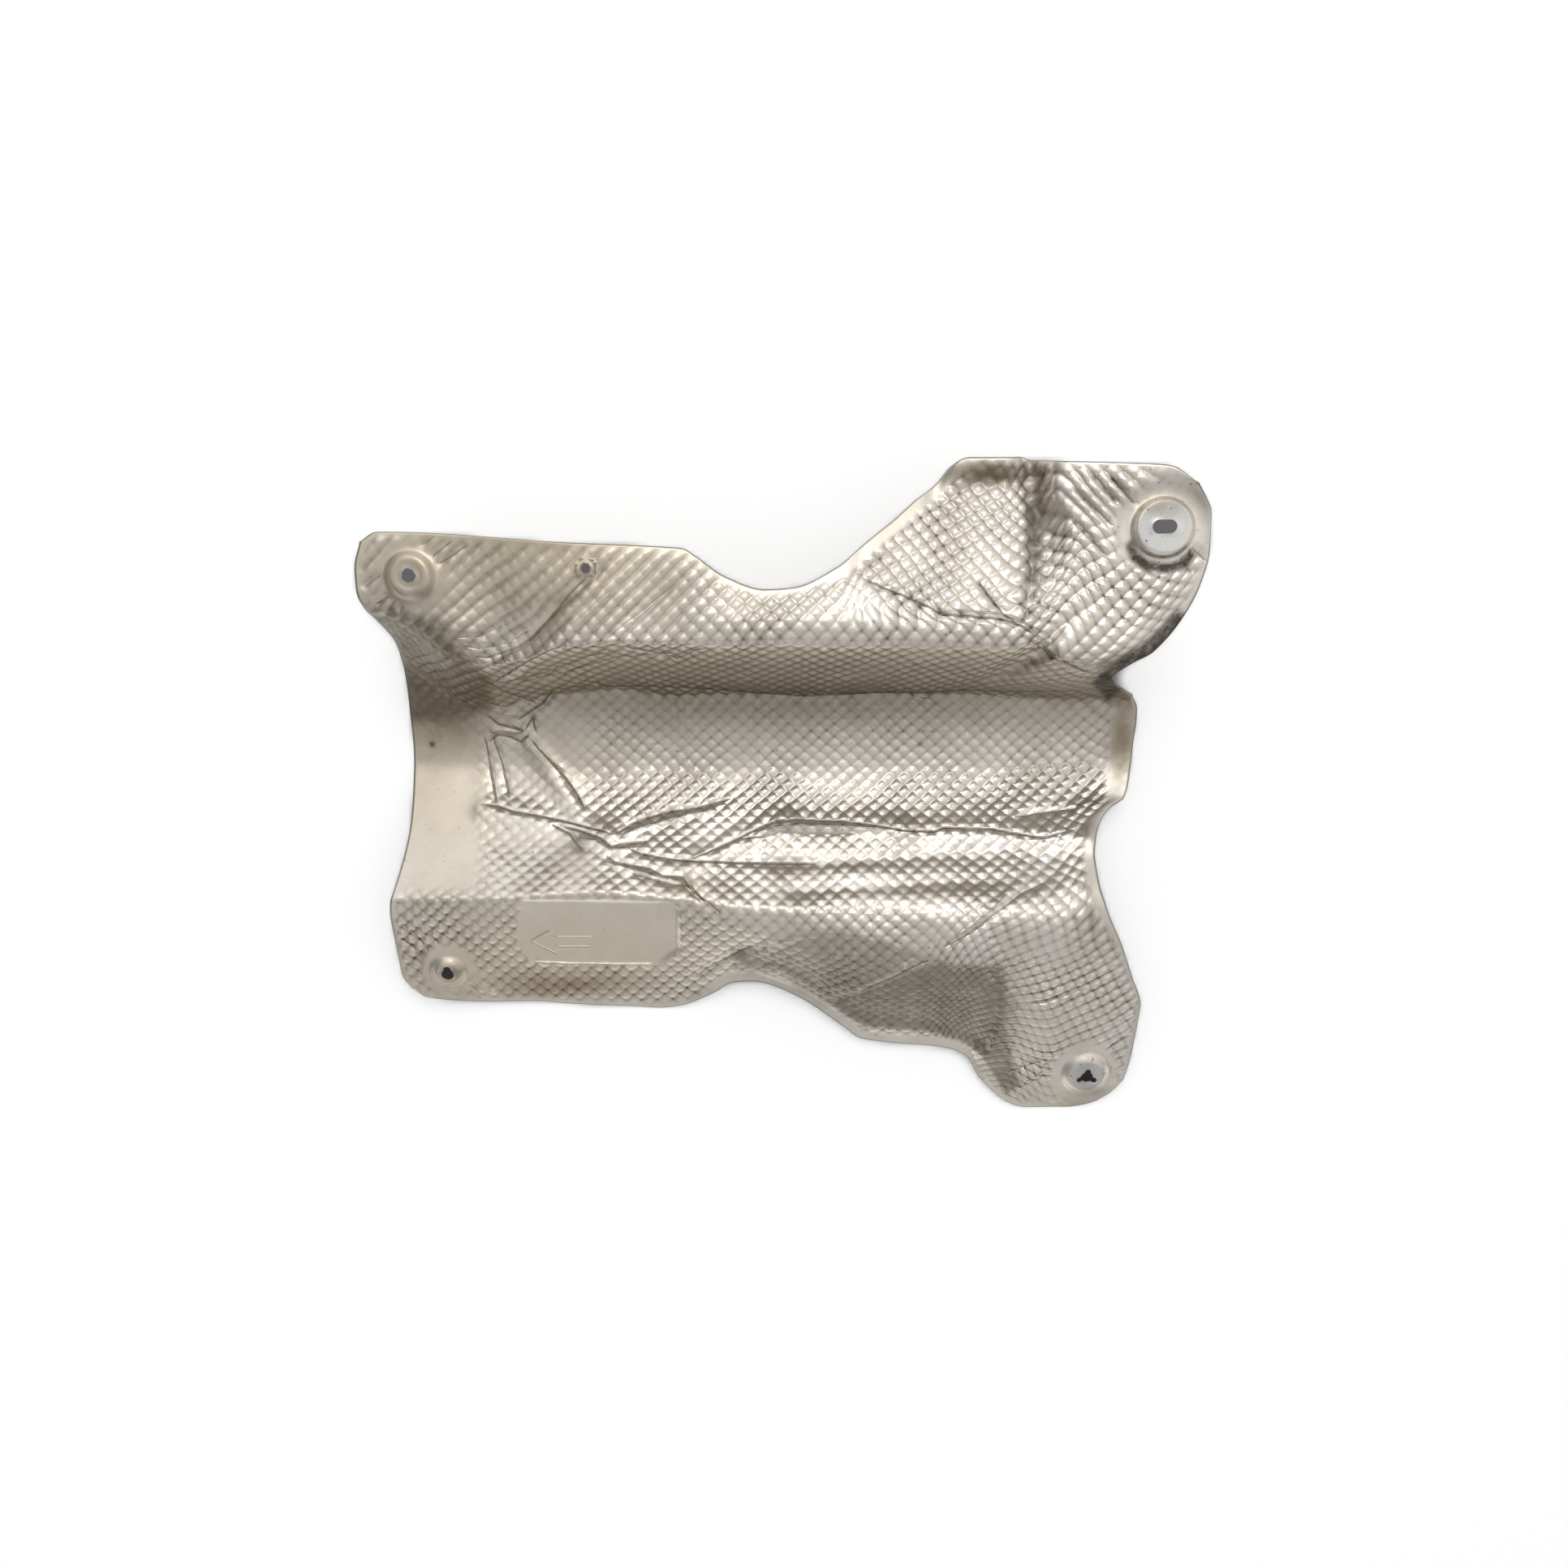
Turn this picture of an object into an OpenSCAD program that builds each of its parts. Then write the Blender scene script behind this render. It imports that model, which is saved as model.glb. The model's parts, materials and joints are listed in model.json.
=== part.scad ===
// Pressed heat shield: one sheet of embossed aluminium with a long channel for a pipe,
// a steep wall above it, a low ridge below it, and a flange with two bolt bosses on each side.
// The sheet lies on its channel and on its lower flange. Looking down, +X runs along the channel
// to the right and +Y points to the high flange.

/* [Sheet] */
// Thickness of the sheet
sheet_t = 0.8; // [0.6:0.1:1.2]
// Width of the smooth band along the cut edges
rim_w = 3.5; // [2:0.5:5]
// Side of one cell of the embossing; every other cell corner stands up as a dimple
cell = 5.9; // [5.9:0.1:8]
// Height of a dimple
dimple_h = 0.7; // [0.3:0.1:1.2]

/* [Length] */
// Reach of the left end from the middle
left_reach = 168; // [160:1:180]
// Reach of the right end from the middle
right_reach = 168; // [160:1:180]

/* [Channel] */
// Height of the upper flange above the bottom of the channel
fold_h = 63; // [52:1:75]
// Place of the upper fold, across the channel
fold_y = 66; // [62:0.5:70]
// Depth of the roll-over behind the upper fold
roll_w = 10; // [6:0.5:12]
// Rise of the roll-over in the middle of the fold
roll_h = 2.5; // [0:0.5:4]
// Height of the foot of the steep wall
foot_h = 8; // [4:0.5:14]
// Place of the foot of the steep wall
foot_y = 52; // [46:0.5:54]
// Place of the lowest line of the channel
valley_y = 19; // [14:0.5:24]
// Height of the ridge below the channel
ridge_h = 31; // [24:1:38]
// Place of the ridge
ridge_y = -42; // [-46:0.5:-36]
// Height of the long wrinkles in the channel
wrinkle_h = 1.5; // [0:0.1:2.5]

/* [Flanges] */
// Place of the top edge at the left, above the upper left boss
top_left_y = 112; // [108:1:120]
// Place of the top edge at the bottom of its round cut-out
top_dip_y = 90; // [86:1:96]
// Place of the top edge at the right
top_right_y = 140; // [136:1:150]
// Height of the top edge left of the dart, where the flange falls away
slant_h = 46; // [40:1:56]
// Height of the upturned lip on that edge
lip_h = 5; // [0:0.5:8]
// Width of the upturned lip
lip_w = 12; // [8:1:16]
// Height of the upper right corner
corner_h = 73; // [66:1:80]
// Place of the bottom edge at the left
low_left_y = -92; // [-98:1:-88]
// Place of the bottom edge at the top of its round cut-out
low_dip_y = -80; // [-84:1:-76]
// Place of the bottom edge between the cut-out and the lug
pocket_y = -112; // [-116:1:-108]
// Place of the bottom edge of the lower right lug
lug_y = -140; // [-146:1:-136]

/* [Bosses] */
// Distance of the upper left boss from the left end
ul_boss_in = 22; // [19:0.5:28]
// Distance of the lower left boss from the left end
ll_boss_in = 20.5; // [18:0.5:26]
// Distance of the upper right boss from the right end
ur_boss_in = 12; // [10:0.5:16]
// Distance of the lower right boss from the right end
lr_boss_in = 24.5; // [22:0.5:28]
// Distance of the upper left boss from its top edge
ul_boss_down = 17; // [15:0.5:20]
// Distance of the upper right boss from its top edge
ur_boss_down = 27; // [24:0.5:32]
// Distance of the lower left boss from its bottom edge
ll_boss_up = 18; // [16:0.5:20]
// Distance of the lower right boss from its bottom edge
lr_boss_up = 18; // [17:0.5:22]
// Width of the flat seat of the upper left boss
ul_seat_d = 14; // [11:0.5:16]
// Width of the flat seat of the upper right boss
ur_seat_d = 19; // [16:0.5:21]
// Width of the flat seat of the lower left boss
ll_seat_d = 11; // [10:0.5:13]
// Width of the flat seat of the lower right boss
lr_seat_d = 16; // [14:0.5:18]
// Width of the sloped wall round each seat
boss_wall_w = 3.5; // [2.5:0.25:4]
// Height of each seat above its flange
boss_h = 3; // [1.5:0.25:4]
// Depth of the shallow trough round the upper right boss
trough_h = 1.5; // [0:0.25:2.5]

/* [Holes] */
// Width of the round bolt holes at the left
bolt_d = 5.5; // [4.5:0.1:6.5]
// Length of the slot in the upper right boss
slot_l = 9.5; // [8:0.1:11]
// Width of the slot in the upper right boss
slot_w = 5.5; // [4.5:0.1:6.5]
// Width of the tear at the top of the lower left hole
tear_d = 3.4; // [2:0.1:3.6]
// Width of the worn three-cornered hole at the lower right
worn_d = 5.6; // [5:0.1:6.5]
// Width of the small pierced hole in the upper flange
pierced_d = 3.8; // [3:0.1:5]
// Distance of the small pierced hole from the left end
pierced_in = 93; // [85:1:100]
// Distance of the small pierced hole from the top edge
pierced_down = 10; // [8:0.5:14]

/* [Flat field] */
// Length of the flat field on the lower left flange
field_l = 70; // [50:1:76]
// Width of the flat field
field_w = 29; // [18:1:32]
// Distance of the flat field from the left end
field_in = 54; // [50:1:60]
// Distance of the flat field below the ridge
field_down = 4; // [3:0.5:9]
// Depth of the flat field
field_h = 0.9; // [0:0.1:1.2]

/* [Hidden] */
$fn = 64;
length = left_reach + right_reach;
// Places of the end edges along the channel: [y, distance outward from the reach]
left_knots = [
    [low_left_y + 8, -2.8], [low_left_y + 16, 1.4], [ridge_y - 6, 1.7], [ridge_y + 4, 0],
    [ridge_y + 30, -1.7], [valley_y, 0], [valley_y + 20, 0.3], [foot_y + 8, -1.2],
    [fold_y, -2.2], [fold_y + 8, -5.5], [fold_y + 13, -4.7], [fold_y + 23, 0.2],
    [top_left_y - 14, 0.5],
    [top_left_y - 4, -2],
];
right_knots = [
    [lug_y + 14, -7], [lug_y + 27, -4.4], [lug_y + 51, -3.2], [ridge_y - 32, -9],
    [ridge_y - 18, -15], [ridge_y, -23.5], [ridge_y + 10, -25.3], [ridge_y + 20, -25.2],
    [valley_y - 32, -23.3], [valley_y - 23, -18.8], [valley_y - 18, -14], [valley_y - 14, -7.5],
    [valley_y - 3, -3.7], [valley_y + 9, -1.6], [foot_y - 15, -1.1], [foot_y - 7, -2.5],
    [foot_y - 4, -4.6], [foot_y - 2, -7.5], [foot_y - 0.8, -13], [foot_y + 1, -23], [foot_y + 3, -28.3],
    [foot_y + 7.5, -22.5], [fold_y - 2, -14.2], [fold_y + 15, -1], [fold_y + 25, 3.3],
    [fold_y + 36, 5.8], [top_right_y - 20, 5.2], [top_right_y - 11, -0.3],
];
// Guide lines along the channel: [station, across, up], from the places and heights above
fold_knots = [
    [-left_reach, 16, -2], [-150, 9, -3], [-135, 1, -5], [-115, -6, -11], [-103, -5, -8],
    [-82, 0, -1], [-55, 1, 0], [60, 0, -1], [108, -1, 1], [117, 2, 1], [132, -5, 3],
    [149, -9, 3], [right_reach, -11, -1],
];
foot_knots = [
    [-left_reach, 14, 10], [-150, 5, 6], [-132, -6, 2], [-97, 0, 2], [-64, 2, 1], [-35, 0, 0],
    [100, 0, 0], [140, -1, 2], [157, -1, 5], [right_reach, -2, 10],
];
valley_knots = [
    [-left_reach, 3, 0], [-138, 2, 0], [-100, 0, 0], [110, 0, 0], [146, 2, 2],
    [right_reach, 8, 5],
];
ridge_knots = [
    [-left_reach, 2, -4], [-118, 2.5, -2], [-75, 5, -1], [-32, 3, 0], [3, -1, 0], [38, -2, 1],
    [77, -3, 3], [110, -4, 6], [141, -4, 7], [right_reach, 1, 5],
];
// Edge lines: [station, place, height]
top_knots = [
    [-left_reach, top_left_y - 3.5, fold_h], [-161, top_left_y + 0.6, fold_h],
    [-148, top_left_y + 0.4, fold_h], [-88, top_left_y - 3.6, fold_h],
    [-40, top_left_y - 5.7, fold_h - 1], [-33, top_left_y - 9.2, fold_h - 1],
    [-20, top_dip_y + 4.8, fold_h - 2], [-4, top_dip_y - 0.2, fold_h - 2],
    [7, top_dip_y + 0.5, fold_h - 2], [24, top_dip_y + 9.3, fold_h - 3],
    [33, top_right_y - 31, slant_h + 11], [48, top_right_y - 18.6, slant_h + 6.5],
    [62, top_right_y - 8.7, slant_h + 3], [68, top_right_y - 3.6, slant_h + 1],
    [74, top_right_y + 3.3, slant_h],
    [82, top_right_y + 6.7, slant_h], [104, top_right_y + 6.2, slant_h + 2],
    [111, top_right_y + 7, slant_h], [121, top_right_y + 1.1, fold_h],
    [143, top_right_y - 1.3, corner_h - 5], [158, top_right_y - 3.3, corner_h - 2],
    [right_reach, top_right_y - 11, corner_h],
];
low_knots = [
    [-left_reach, low_left_y + 8.6, 8], [-153, low_left_y + 2.8, 6], [-132, low_left_y + 1.3, 3],
    [-114, low_left_y + 1.7, 2], [-97, low_left_y + 0.5, 1], [-64, low_left_y - 1, 0],
    [-54, low_left_y - 1.6, 0], [-43, low_left_y - 0.2, 1], [-31, low_left_y + 4.7, 4],
    [-15, low_dip_y - 0.3, 7], [-6, low_dip_y, 7], [12, low_dip_y - 7.2, 6],
    [34, pocket_y + 10.4, 4], [42, pocket_y + 5, 3], [84, pocket_y + 0.7, 3],
    [93, pocket_y - 3.5, 3], [98, lug_y + 17, 2], [103, lug_y + 11.6, 2], [115, lug_y + 2, 1],
    [123, lug_y, 0.5], [142, lug_y, 0], [153, lug_y + 2, 1], [162, lug_y + 7.2, 3],
    [right_reach, lug_y + 14, 5],
];
// How far the roll-over behind the fold rises, as a share: none where the fold is sharp
roll_knots = [[-40, 0], [-15, 0.8], [60, 1], [100, 1], [117, 0]];
// How the lower flange falls: 1 is straight, more is level first and steep at its foot
bow_knots = [[-43, 1], [-15, 1.5], [30, 2], [60, 2.6], [90, 2.2], [112, 1.05]];
// Rise of the smooth band along the bottom edge for each millimetre inward
shelf_knots = [[-43, 0.45], [-30, 0.15], [92, 0.15], [112, 0.4]];
lip_knots = [[70, 0], [78, 1], [102, 1], [108, 0]];
// Long wrinkles: two ends and the share of the wrinkle height, negative for a groove
wrinkles = [
    [[-34, -24], [6, -6], 1], [[6, -6], [59, -9], 1], [[59, -9], [141, -13], 0.8],
    [[3, -25], [125, -22], -0.8], [[10, -35], [122, -30], -0.7],
    [[-101, 71], [-73, 96], -1], [[-114, 32], [-90, -2], 1], [[-134, -1], [-75, -12], 0.8],
];
wrinkle_w = 5;
pad_blend = 6;
// Bosses: [centre, width of the seat, on the upper flange, depth of the trough]
bosses = [
    [[ul_boss_in - left_reach, top_left_y - ul_boss_down], ul_seat_d, true, 0],
    [[right_reach - ur_boss_in, top_right_y - ur_boss_down], ur_seat_d, true, trough_h],
    [[ll_boss_in - left_reach, low_left_y + ll_boss_up], ll_seat_d, false, 0],
    [[right_reach - lr_boss_in, lug_y + lr_boss_up], lr_seat_d, false, 0],
];
pierced_at = [pierced_in - left_reach, top_left_y - 4 - pierced_down];
cols = round(length / cell);
low_rows = round(norm([valley_y - ridge_y, ridge_h]) / cell);
floor_rows = round(norm([foot_y - valley_y, foot_h]) / cell);
wall_rows = round(norm([fold_y - foot_y, fold_h - foot_h]) / cell);
roll_rows = 2;
mid_rows = low_rows + floor_rows + wall_rows + roll_rows;

function lerp(a, b, t) = a + (b - a) * t;
function clamp(t) = max(0, min(1, t));
function ease(t) = let (c = clamp(t)) c * c * (3 - 2 * c);

// A smooth line through knots, which never overshoots between them
function span(k, x, i = 0) = i >= len(k) - 2 || x < k[i + 1][0] ? i : span(k, x, i + 1);
function secant(k, i, c) = (k[i + 1][c] - k[i][c]) / (k[i + 1][0] - k[i][0]);
function tangent(k, i, c) =
    i == 0 ? secant(k, 0, c)
    : i == len(k) - 1 ? secant(k, i - 1, c)
    : let (a = secant(k, i - 1, c), b = secant(k, i, c)) a * b > 0 ? 2 * a * b / (a + b) : 0;
function curve(k, x, c = 1) =
    let (
        i = span(k, x),
        h = k[i + 1][0] - k[i][0],
        t = clamp((x - k[i][0]) / h),
        a = k[i][c],
        b = k[i + 1][c]
    )
    a + t * t * (3 - 2 * t) * (b - a)
    + t * (1 - t) * h * ((1 - t) * tangent(k, i, c) - t * tangent(k, i + 1, c));

// Ends of the sheet, and the station of a point between them
function left_edge(y) = -left_reach - curve(left_knots, y);
function right_edge(y) = right_reach + curve(right_knots, y);
function at_station(s, y, z) =
    [lerp(left_edge(y), right_edge(y), (s + left_reach) / length), y, z];
function station(x, y) =
    (x - left_edge(y)) / (right_edge(y) - left_edge(y)) * length - left_reach;

// Guide points [y, z] at a station
function guide(k, s, y, z) = [y + curve(k, s, 1), z + curve(k, s, 2)];
function ridge(s) = guide(ridge_knots, s, ridge_y, ridge_h);
function valley(s) = guide(valley_knots, s, valley_y, 0);
function foot(s) = guide(foot_knots, s, foot_y, foot_h);
function fold(s) = guide(fold_knots, s, fold_y, fold_h);
function roll(s) = fold(s) + [roll_w, roll_h * curve(roll_knots, s)];
function top(s) = guide(top_knots, s, 0, 0);
function low(s) = guide(low_knots, s, 0, 0);
// All that a cross-section needs: its guide points, then bow, shelf and lip
function section(s) = [
    low(s), ridge(s), valley(s), foot(s), fold(s), roll(s), top(s),
    curve(bow_knots, s), curve(shelf_knots, s), curve(lip_knots, s) * lip_h,
];

// Height of the lower flange at a place across it
function low_z(g, y) =
    let (edge = g[0], crest = g[1], rim = [edge[0] + rim_w, edge[1] + rim_w * g[8]])
    y < rim[0] ? edge[1] + (y - edge[0]) * g[8]
    : lerp(crest[1], rim[1], pow(clamp((crest[0] - y) / (crest[0] - rim[0])), g[7]));
// Height of the upper flange at a place across it
function top_z(g, y) =
    let (edge = g[6], crest = g[5])
    lerp(crest[1], edge[1], (y - crest[0]) / (edge[0] - crest[0]))
    + g[9] * ease(1 - (edge[0] - y) / lip_w);
// Point [y, z] of a cross-section: v runs from 0 at the bottom edge to 6 at the top edge
function profile(g, v) =
    let (k = min(5, floor(v)), t = v - k, a = g[k], b = g[k + 1], y = lerp(a[0], b[0], t))
    [y,
        k == 0 ? low_z(g, y)
        : k == 1 ? lerp(b[1], a[1], pow(1 - t, 1.5))
        : k == 2 ? lerp(a[1], b[1], t * t)
        : k == 3 ? lerp(a[1], b[1], t)
        : k == 4 ? lerp(a[1], b[1], 1 - pow(1 - t, 2))
        : top_z(g, y)];

// Plane of the flange at a boss: [height, slope along x, slope along y]
function flange_z(x, y, upper) =
    let (s = station(x, y), a = upper ? roll(s) : ridge(s), b = upper ? top(s) : low(s))
    lerp(a[1], b[1], (y - a[0]) / (b[0] - a[0]));
function plane_at(c, upper, e = 3) = [
    flange_z(c[0], c[1], upper),
    (flange_z(c[0] + e, c[1], upper) - flange_z(c[0] - e, c[1], upper)) / (2 * e),
    (flange_z(c[0], c[1] + e, upper) - flange_z(c[0], c[1] - e, upper)) / (2 * e),
];
planes = [for (b = bosses) plane_at(b[0], b[2]) - [b[3], 0, 0]];
function base_r(b) = b[1] / 2 + boss_wall_w;
function off(p, c) = [p[0] - c[0], p[1] - c[1]];
// Pull toward the flat pad round boss i, from 0 far away to 1 on the pad
function pad(p, i) = 1 - ease((norm(off(p, bosses[i][0])) - base_r(bosses[i]) - 2) / pad_blend);
function pad_lift(p, i) =
    let (w = pad(p, i), d = off(p, bosses[i][0]), f = planes[i])
    w > 0 ? w * (f[0] + f[1] * d[0] + f[2] * d[1] - p[2]) : 0;

// Lift of a long wrinkle, falling off to both sides
function wrinkle_lift(p, w) =
    let (a = w[0], d = w[1] - a, q = off(p, a), t = clamp(q * d / (d * d)))
    w[2] * wrinkle_h * exp(-pow(norm(q - t * d) / wrinkle_w, 2));
function sum(list, i = 0) = i == len(list) ? 0 : list[i] + sum(list, i + 1);

function in_field(p, g) =
    p[0] > field_in - left_reach && p[0] < field_in + field_l - left_reach
    && p[1] < g[1][0] - field_down && p[1] > g[1][0] - field_down - field_w;
// Smooth stretches without dimples: pads, flat field, and the drawn ends of the channel
function is_smooth(p, g) =
    in_field(p, g) || max([for (i = [0:len(bosses) - 1]) pad(p, i)]) > 0.5
    || (p[0] < 26 - left_reach && p[1] > ridge_y + 8 && p[1] < fold_y + 4)
    || (p[0] > right_edge(p[1]) - 7 && p[1] < fold_y - 8 && p[1] > ridge_y - 20);

// Point of the pressed sheet without dimples
function sheet_point(s, g, v) =
    let (q = profile(g, v), p = at_station(s, q[0], q[1]))
    p + [0, 0, sum([for (i = [0:len(bosses) - 1]) pad_lift(p, i)])
        + sum([for (w = wrinkles) wrinkle_lift(p, w)]) - (in_field(p, g) ? field_h : 0)];

// Places along one column, from the ridge to the fold: whole numbers are guide lines
mid_places = [
    for (j = [0:low_rows - 1]) 1 + j / low_rows,
    for (j = [0:floor_rows - 1]) 2 + j / floor_rows,
    for (j = [0:wall_rows - 1]) 3 + j / wall_rows,
    for (j = [0:roll_rows]) 4 + j / roll_rows,
];
// Rows on the ridge, the foot, the fold and the roll-over carry no dimples
function is_bend(v) = v == floor(v) && v != 2;
// Rows outward from the ridge or the roll-over, a cell apart, then the rim and the edge
function flange_rows(a, b) = max(0, floor((norm(b - a) - rim_w - cell * 0.4) / cell));
function flange_shares(a, b) =
    let (l = norm(b - a))
    [for (j = [1:1:flange_rows(a, b)]) j * cell / l, 1 - rim_w / l, 1];
function down_places(g) = [for (t = flange_shares(g[1], g[0])) 1 - t];
function up_places(g) = [for (t = flange_shares(g[5], g[6])) 5 + t];

function column_station(i) = lerp(-left_reach, right_reach, i / cols);
sections = [for (i = [0:cols]) section(column_station(i))];
downs = [for (g = sections) down_places(g)];
ups = [for (g = sections) up_places(g)];
function running(list) = [for (i = 0, s = 0; i < len(list); s = s + list[i], i = i + 1) s];
starts = running([for (i = [0:cols]) mid_rows + 1 + len(downs[i]) + len(ups[i])]);
total = starts[cols] + mid_rows + 1 + len(downs[cols]) + len(ups[cols]);

// Vertex numbers: rows are counted outward from the ridge and from the roll-over
function mid_id(i, j) = starts[i] + j;
function down_id(i, j) = j == 0 ? starts[i] : starts[i] + mid_rows + j;
function up_id(i, j) =
    j == 0 ? starts[i] + mid_rows : starts[i] + mid_rows + len(downs[i]) + j;

// Top and underside points of one vertex; odd ones are pushed up as dimples
function vertex(i, g, before, after, v, raised) =
    let (
        s = column_station(i),
        e = 0.04,
        p = sheet_point(s, g, v),
        across = sheet_point(s, g, min(6, v + e)) - sheet_point(s, g, max(0, v - e)),
        along = sheet_point(s + 1, after, v) - sheet_point(s - 1, before, v),
        c = cross(along, across),
        n = c / norm(c),
        lift = raised && i > 0 && i < cols && !is_smooth(p, g) ? dimple_h : 0
    )
    [p + n * lift, p + n * (lift - sheet_t)];
vertices = [
    for (i = [0:cols])
        let (
            s = column_station(i),
            g = sections[i],
            before = section(s - 1),
            after = section(s + 1),
            d = downs[i],
            u = ups[i]
        )
        each concat(
            [for (j = [0:mid_rows])
                vertex(i, g, before, after, mid_places[j],
                    (i + j) % 2 == 1 && !is_bend(mid_places[j]))],
            [for (j = [0:len(d) - 1])
                vertex(i, g, before, after, d[j], j < len(d) - 2 && (i + j) % 2 == 0)],
            [for (j = [0:len(u) - 1])
                vertex(i, g, before, after, u[j],
                    j < len(u) - 2 && (i + j + mid_rows) % 2 == 0)]
        ),
];

points = concat([for (v = vertices) v[0]], [for (v = vertices) v[1]]);

// The middle of the outline and the lowest point, which become the origin
function coordinates(c) = [for (p = points) p[c]];
function middle(c) = (min(coordinates(c)) + max(coordinates(c))) / 2;
origin = [middle(0), middle(1), min(coordinates(2))];

// Two faces of one cell, split so that dimples stand up singly; a collapsed side gives one face
function cell_faces(a0, a1, b0, b1, even, flip) =
    [for (f = even ? [[a0, a1, b1], [a0, b1, b0]] : [[a0, a1, b0], [a1, b1, b0]])
        if (f[0] != f[1] && f[1] != f[2] && f[2] != f[0]) flip ? [f[0], f[2], f[1]] : f];
mid_faces = [
    for (i = [0:cols - 1], j = [0:mid_rows - 1])
        each cell_faces(mid_id(i, j), mid_id(i, j + 1), mid_id(i + 1, j), mid_id(i + 1, j + 1),
            (i + j) % 2 == 0, false),
];
down_faces = [
    for (i = [0:cols - 1])
        let (na = len(downs[i]), nb = len(downs[i + 1]))
        each concat(
            [for (j = [0:max(na, nb) - 2])
                each cell_faces(
                    down_id(i, min(j, na - 1)), down_id(i, min(j + 1, na - 1)),
                    down_id(i + 1, min(j, nb - 1)), down_id(i + 1, min(j + 1, nb - 1)),
                    (i + j) % 2 == 0, true)],
            cell_faces(down_id(i, na - 1), down_id(i, na), down_id(i + 1, nb - 1),
                down_id(i + 1, nb), true, true)
        ),
];
up_faces = [
    for (i = [0:cols - 1])
        let (na = len(ups[i]), nb = len(ups[i + 1]))
        each concat(
            [for (j = [0:max(na, nb) - 2])
                each cell_faces(
                    up_id(i, min(j, na - 1)), up_id(i, min(j + 1, na - 1)),
                    up_id(i + 1, min(j, nb - 1)), up_id(i + 1, min(j + 1, nb - 1)),
                    (i + j + mid_rows) % 2 == 0, false)],
            cell_faces(up_id(i, na - 1), up_id(i, na), up_id(i + 1, nb - 1),
                up_id(i + 1, nb), true, false)
        ),
];
top_faces = concat(mid_faces, down_faces, up_faces);
// The cut edge, followed once round: up the left end, along the top, down the right, back
function edge_column(i) = concat(
    [for (j = [len(downs[i]):-1:1]) down_id(i, j)],
    [for (j = [0:mid_rows]) mid_id(i, j)],
    [for (j = [1:len(ups[i])]) up_id(i, j)]
);
function reversed(list) = [for (i = [len(list) - 1:-1:0]) list[i]];
edge_loop = concat(
    edge_column(0),
    [for (i = [1:cols - 1]) up_id(i, len(ups[i]))],
    reversed(edge_column(cols)),
    [for (i = [cols - 1:-1:1]) down_id(i, len(downs[i]))]
);
edge_faces = [
    for (k = [0:len(edge_loop) - 1])
        let (p = edge_loop[k], q = edge_loop[(k + 1) % len(edge_loop)])
        each [[q, p, p + total], [q, p + total, q + total]],
];

// The pressed sheet, before its bosses are set in and its holes are cut
module pressed_sheet() {
    polyhedron(
        points = points,
        faces = concat(
            top_faces,
            [for (f = top_faces) [f[0] + total, f[2] + total, f[1] + total]],
            edge_faces
        ),
        convexity = 10
    );
}

// Stand on the pad of boss i, with z along the bolt
module on_boss(i) {
    f = planes[i];
    turn = atan2(-f[2], -f[1]);
    translate([bosses[i][0][0], bosses[i][0][1], f[0]])
        rotate([0, acos(1 / norm([f[1], f[2], 1])), turn])
            rotate([0, 0, -turn])
                children();
}

// Outline of a bent strip of the sheet's thickness below an open line
function bent_normal(p, i) =
    let (
        a = p[max(0, i - 1)],
        b = p[max(1, i)],
        c = p[min(len(p) - 2, i)],
        d = p[min(len(p) - 1, i + 1)],
        m = (b - a) / norm(b - a),
        n = (d - c) / norm(d - c),
        h = (m + n) / norm(m + n)
    )
    [h[1], -h[0]] / (h * n);
function strip_outline(p, t) =
    concat(p, reversed([for (i = [0:len(p) - 1]) p[i] + t * bent_normal(p, i)]));

// A raised bolt seat with a rounded shoulder; its wall ends inside the sheet round it
module seat(seat_d) {
    r = seat_d / 2;
    base = r + boss_wall_w;
    bend = min(1.5, boss_h * 0.6);
    lean = atan(boss_h / boss_wall_w);
    wall_line = concat(
        [[0, boss_h]],
        [for (k = [0:4]) [r + bend * sin(lean * k / 4), boss_h - bend * (1 - cos(lean * k / 4))]],
        [[base, 0], [base + sheet_t * 0.25 / tan(lean), -sheet_t * 0.25]]
    );
    rotate_extrude() polygon(strip_outline(wall_line, sheet_t));
}

module through(d, at = [0, 0]) {
    translate([at[0], at[1], -boss_h]) cylinder(d = d, h = 3 * boss_h);
}

module slot() {
    reach = (slot_l - slot_w) / 2;
    through(slot_w, [-reach, 0]);
    through(slot_w, [reach, 0]);
    translate([-reach, -slot_w / 2, -boss_h]) cube([2 * reach, slot_w, 3 * boss_h]);
}

// A bolt hole worn out to three soft corners
module worn_hole() {
    corner_d = worn_d / 2;
    corners = [[-0.55, -0.3], [0.6, -0.3], [0.05, 0.5]] * worn_d;
    through(worn_d);
    for (c = corners) through(corner_d, c);
    translate([0, 0, -boss_h]) linear_extrude(3 * boss_h) polygon(corners);
}

module heat_shield() {
    color([0.74, 0.71, 0.66])
    translate(-origin)
    difference() {
        union() {
            difference() {
                pressed_sheet();
                for (i = [0:len(bosses) - 1])
                    on_boss(i) translate([0, 0, -boss_h])
                        cylinder(r = base_r(bosses[i]) - 0.6 * sheet_t, h = 2 * boss_h);
            }
            for (i = [0:len(bosses) - 1]) on_boss(i) seat(bosses[i][1]);
        }
        on_boss(0) through(bolt_d);
        on_boss(1) slot();
        on_boss(2) {
            through(bolt_d);
            through(tear_d, [0, (bolt_d - tear_d) / 2 + 1.5]);
        }
        on_boss(3) worn_hole();
        translate([pierced_at[0], pierced_at[1], fold_h]) through(pierced_d);
    }
}

heat_shield();
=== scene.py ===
import json
import math
import bpy
import numpy as np
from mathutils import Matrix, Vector, kdtree


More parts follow.
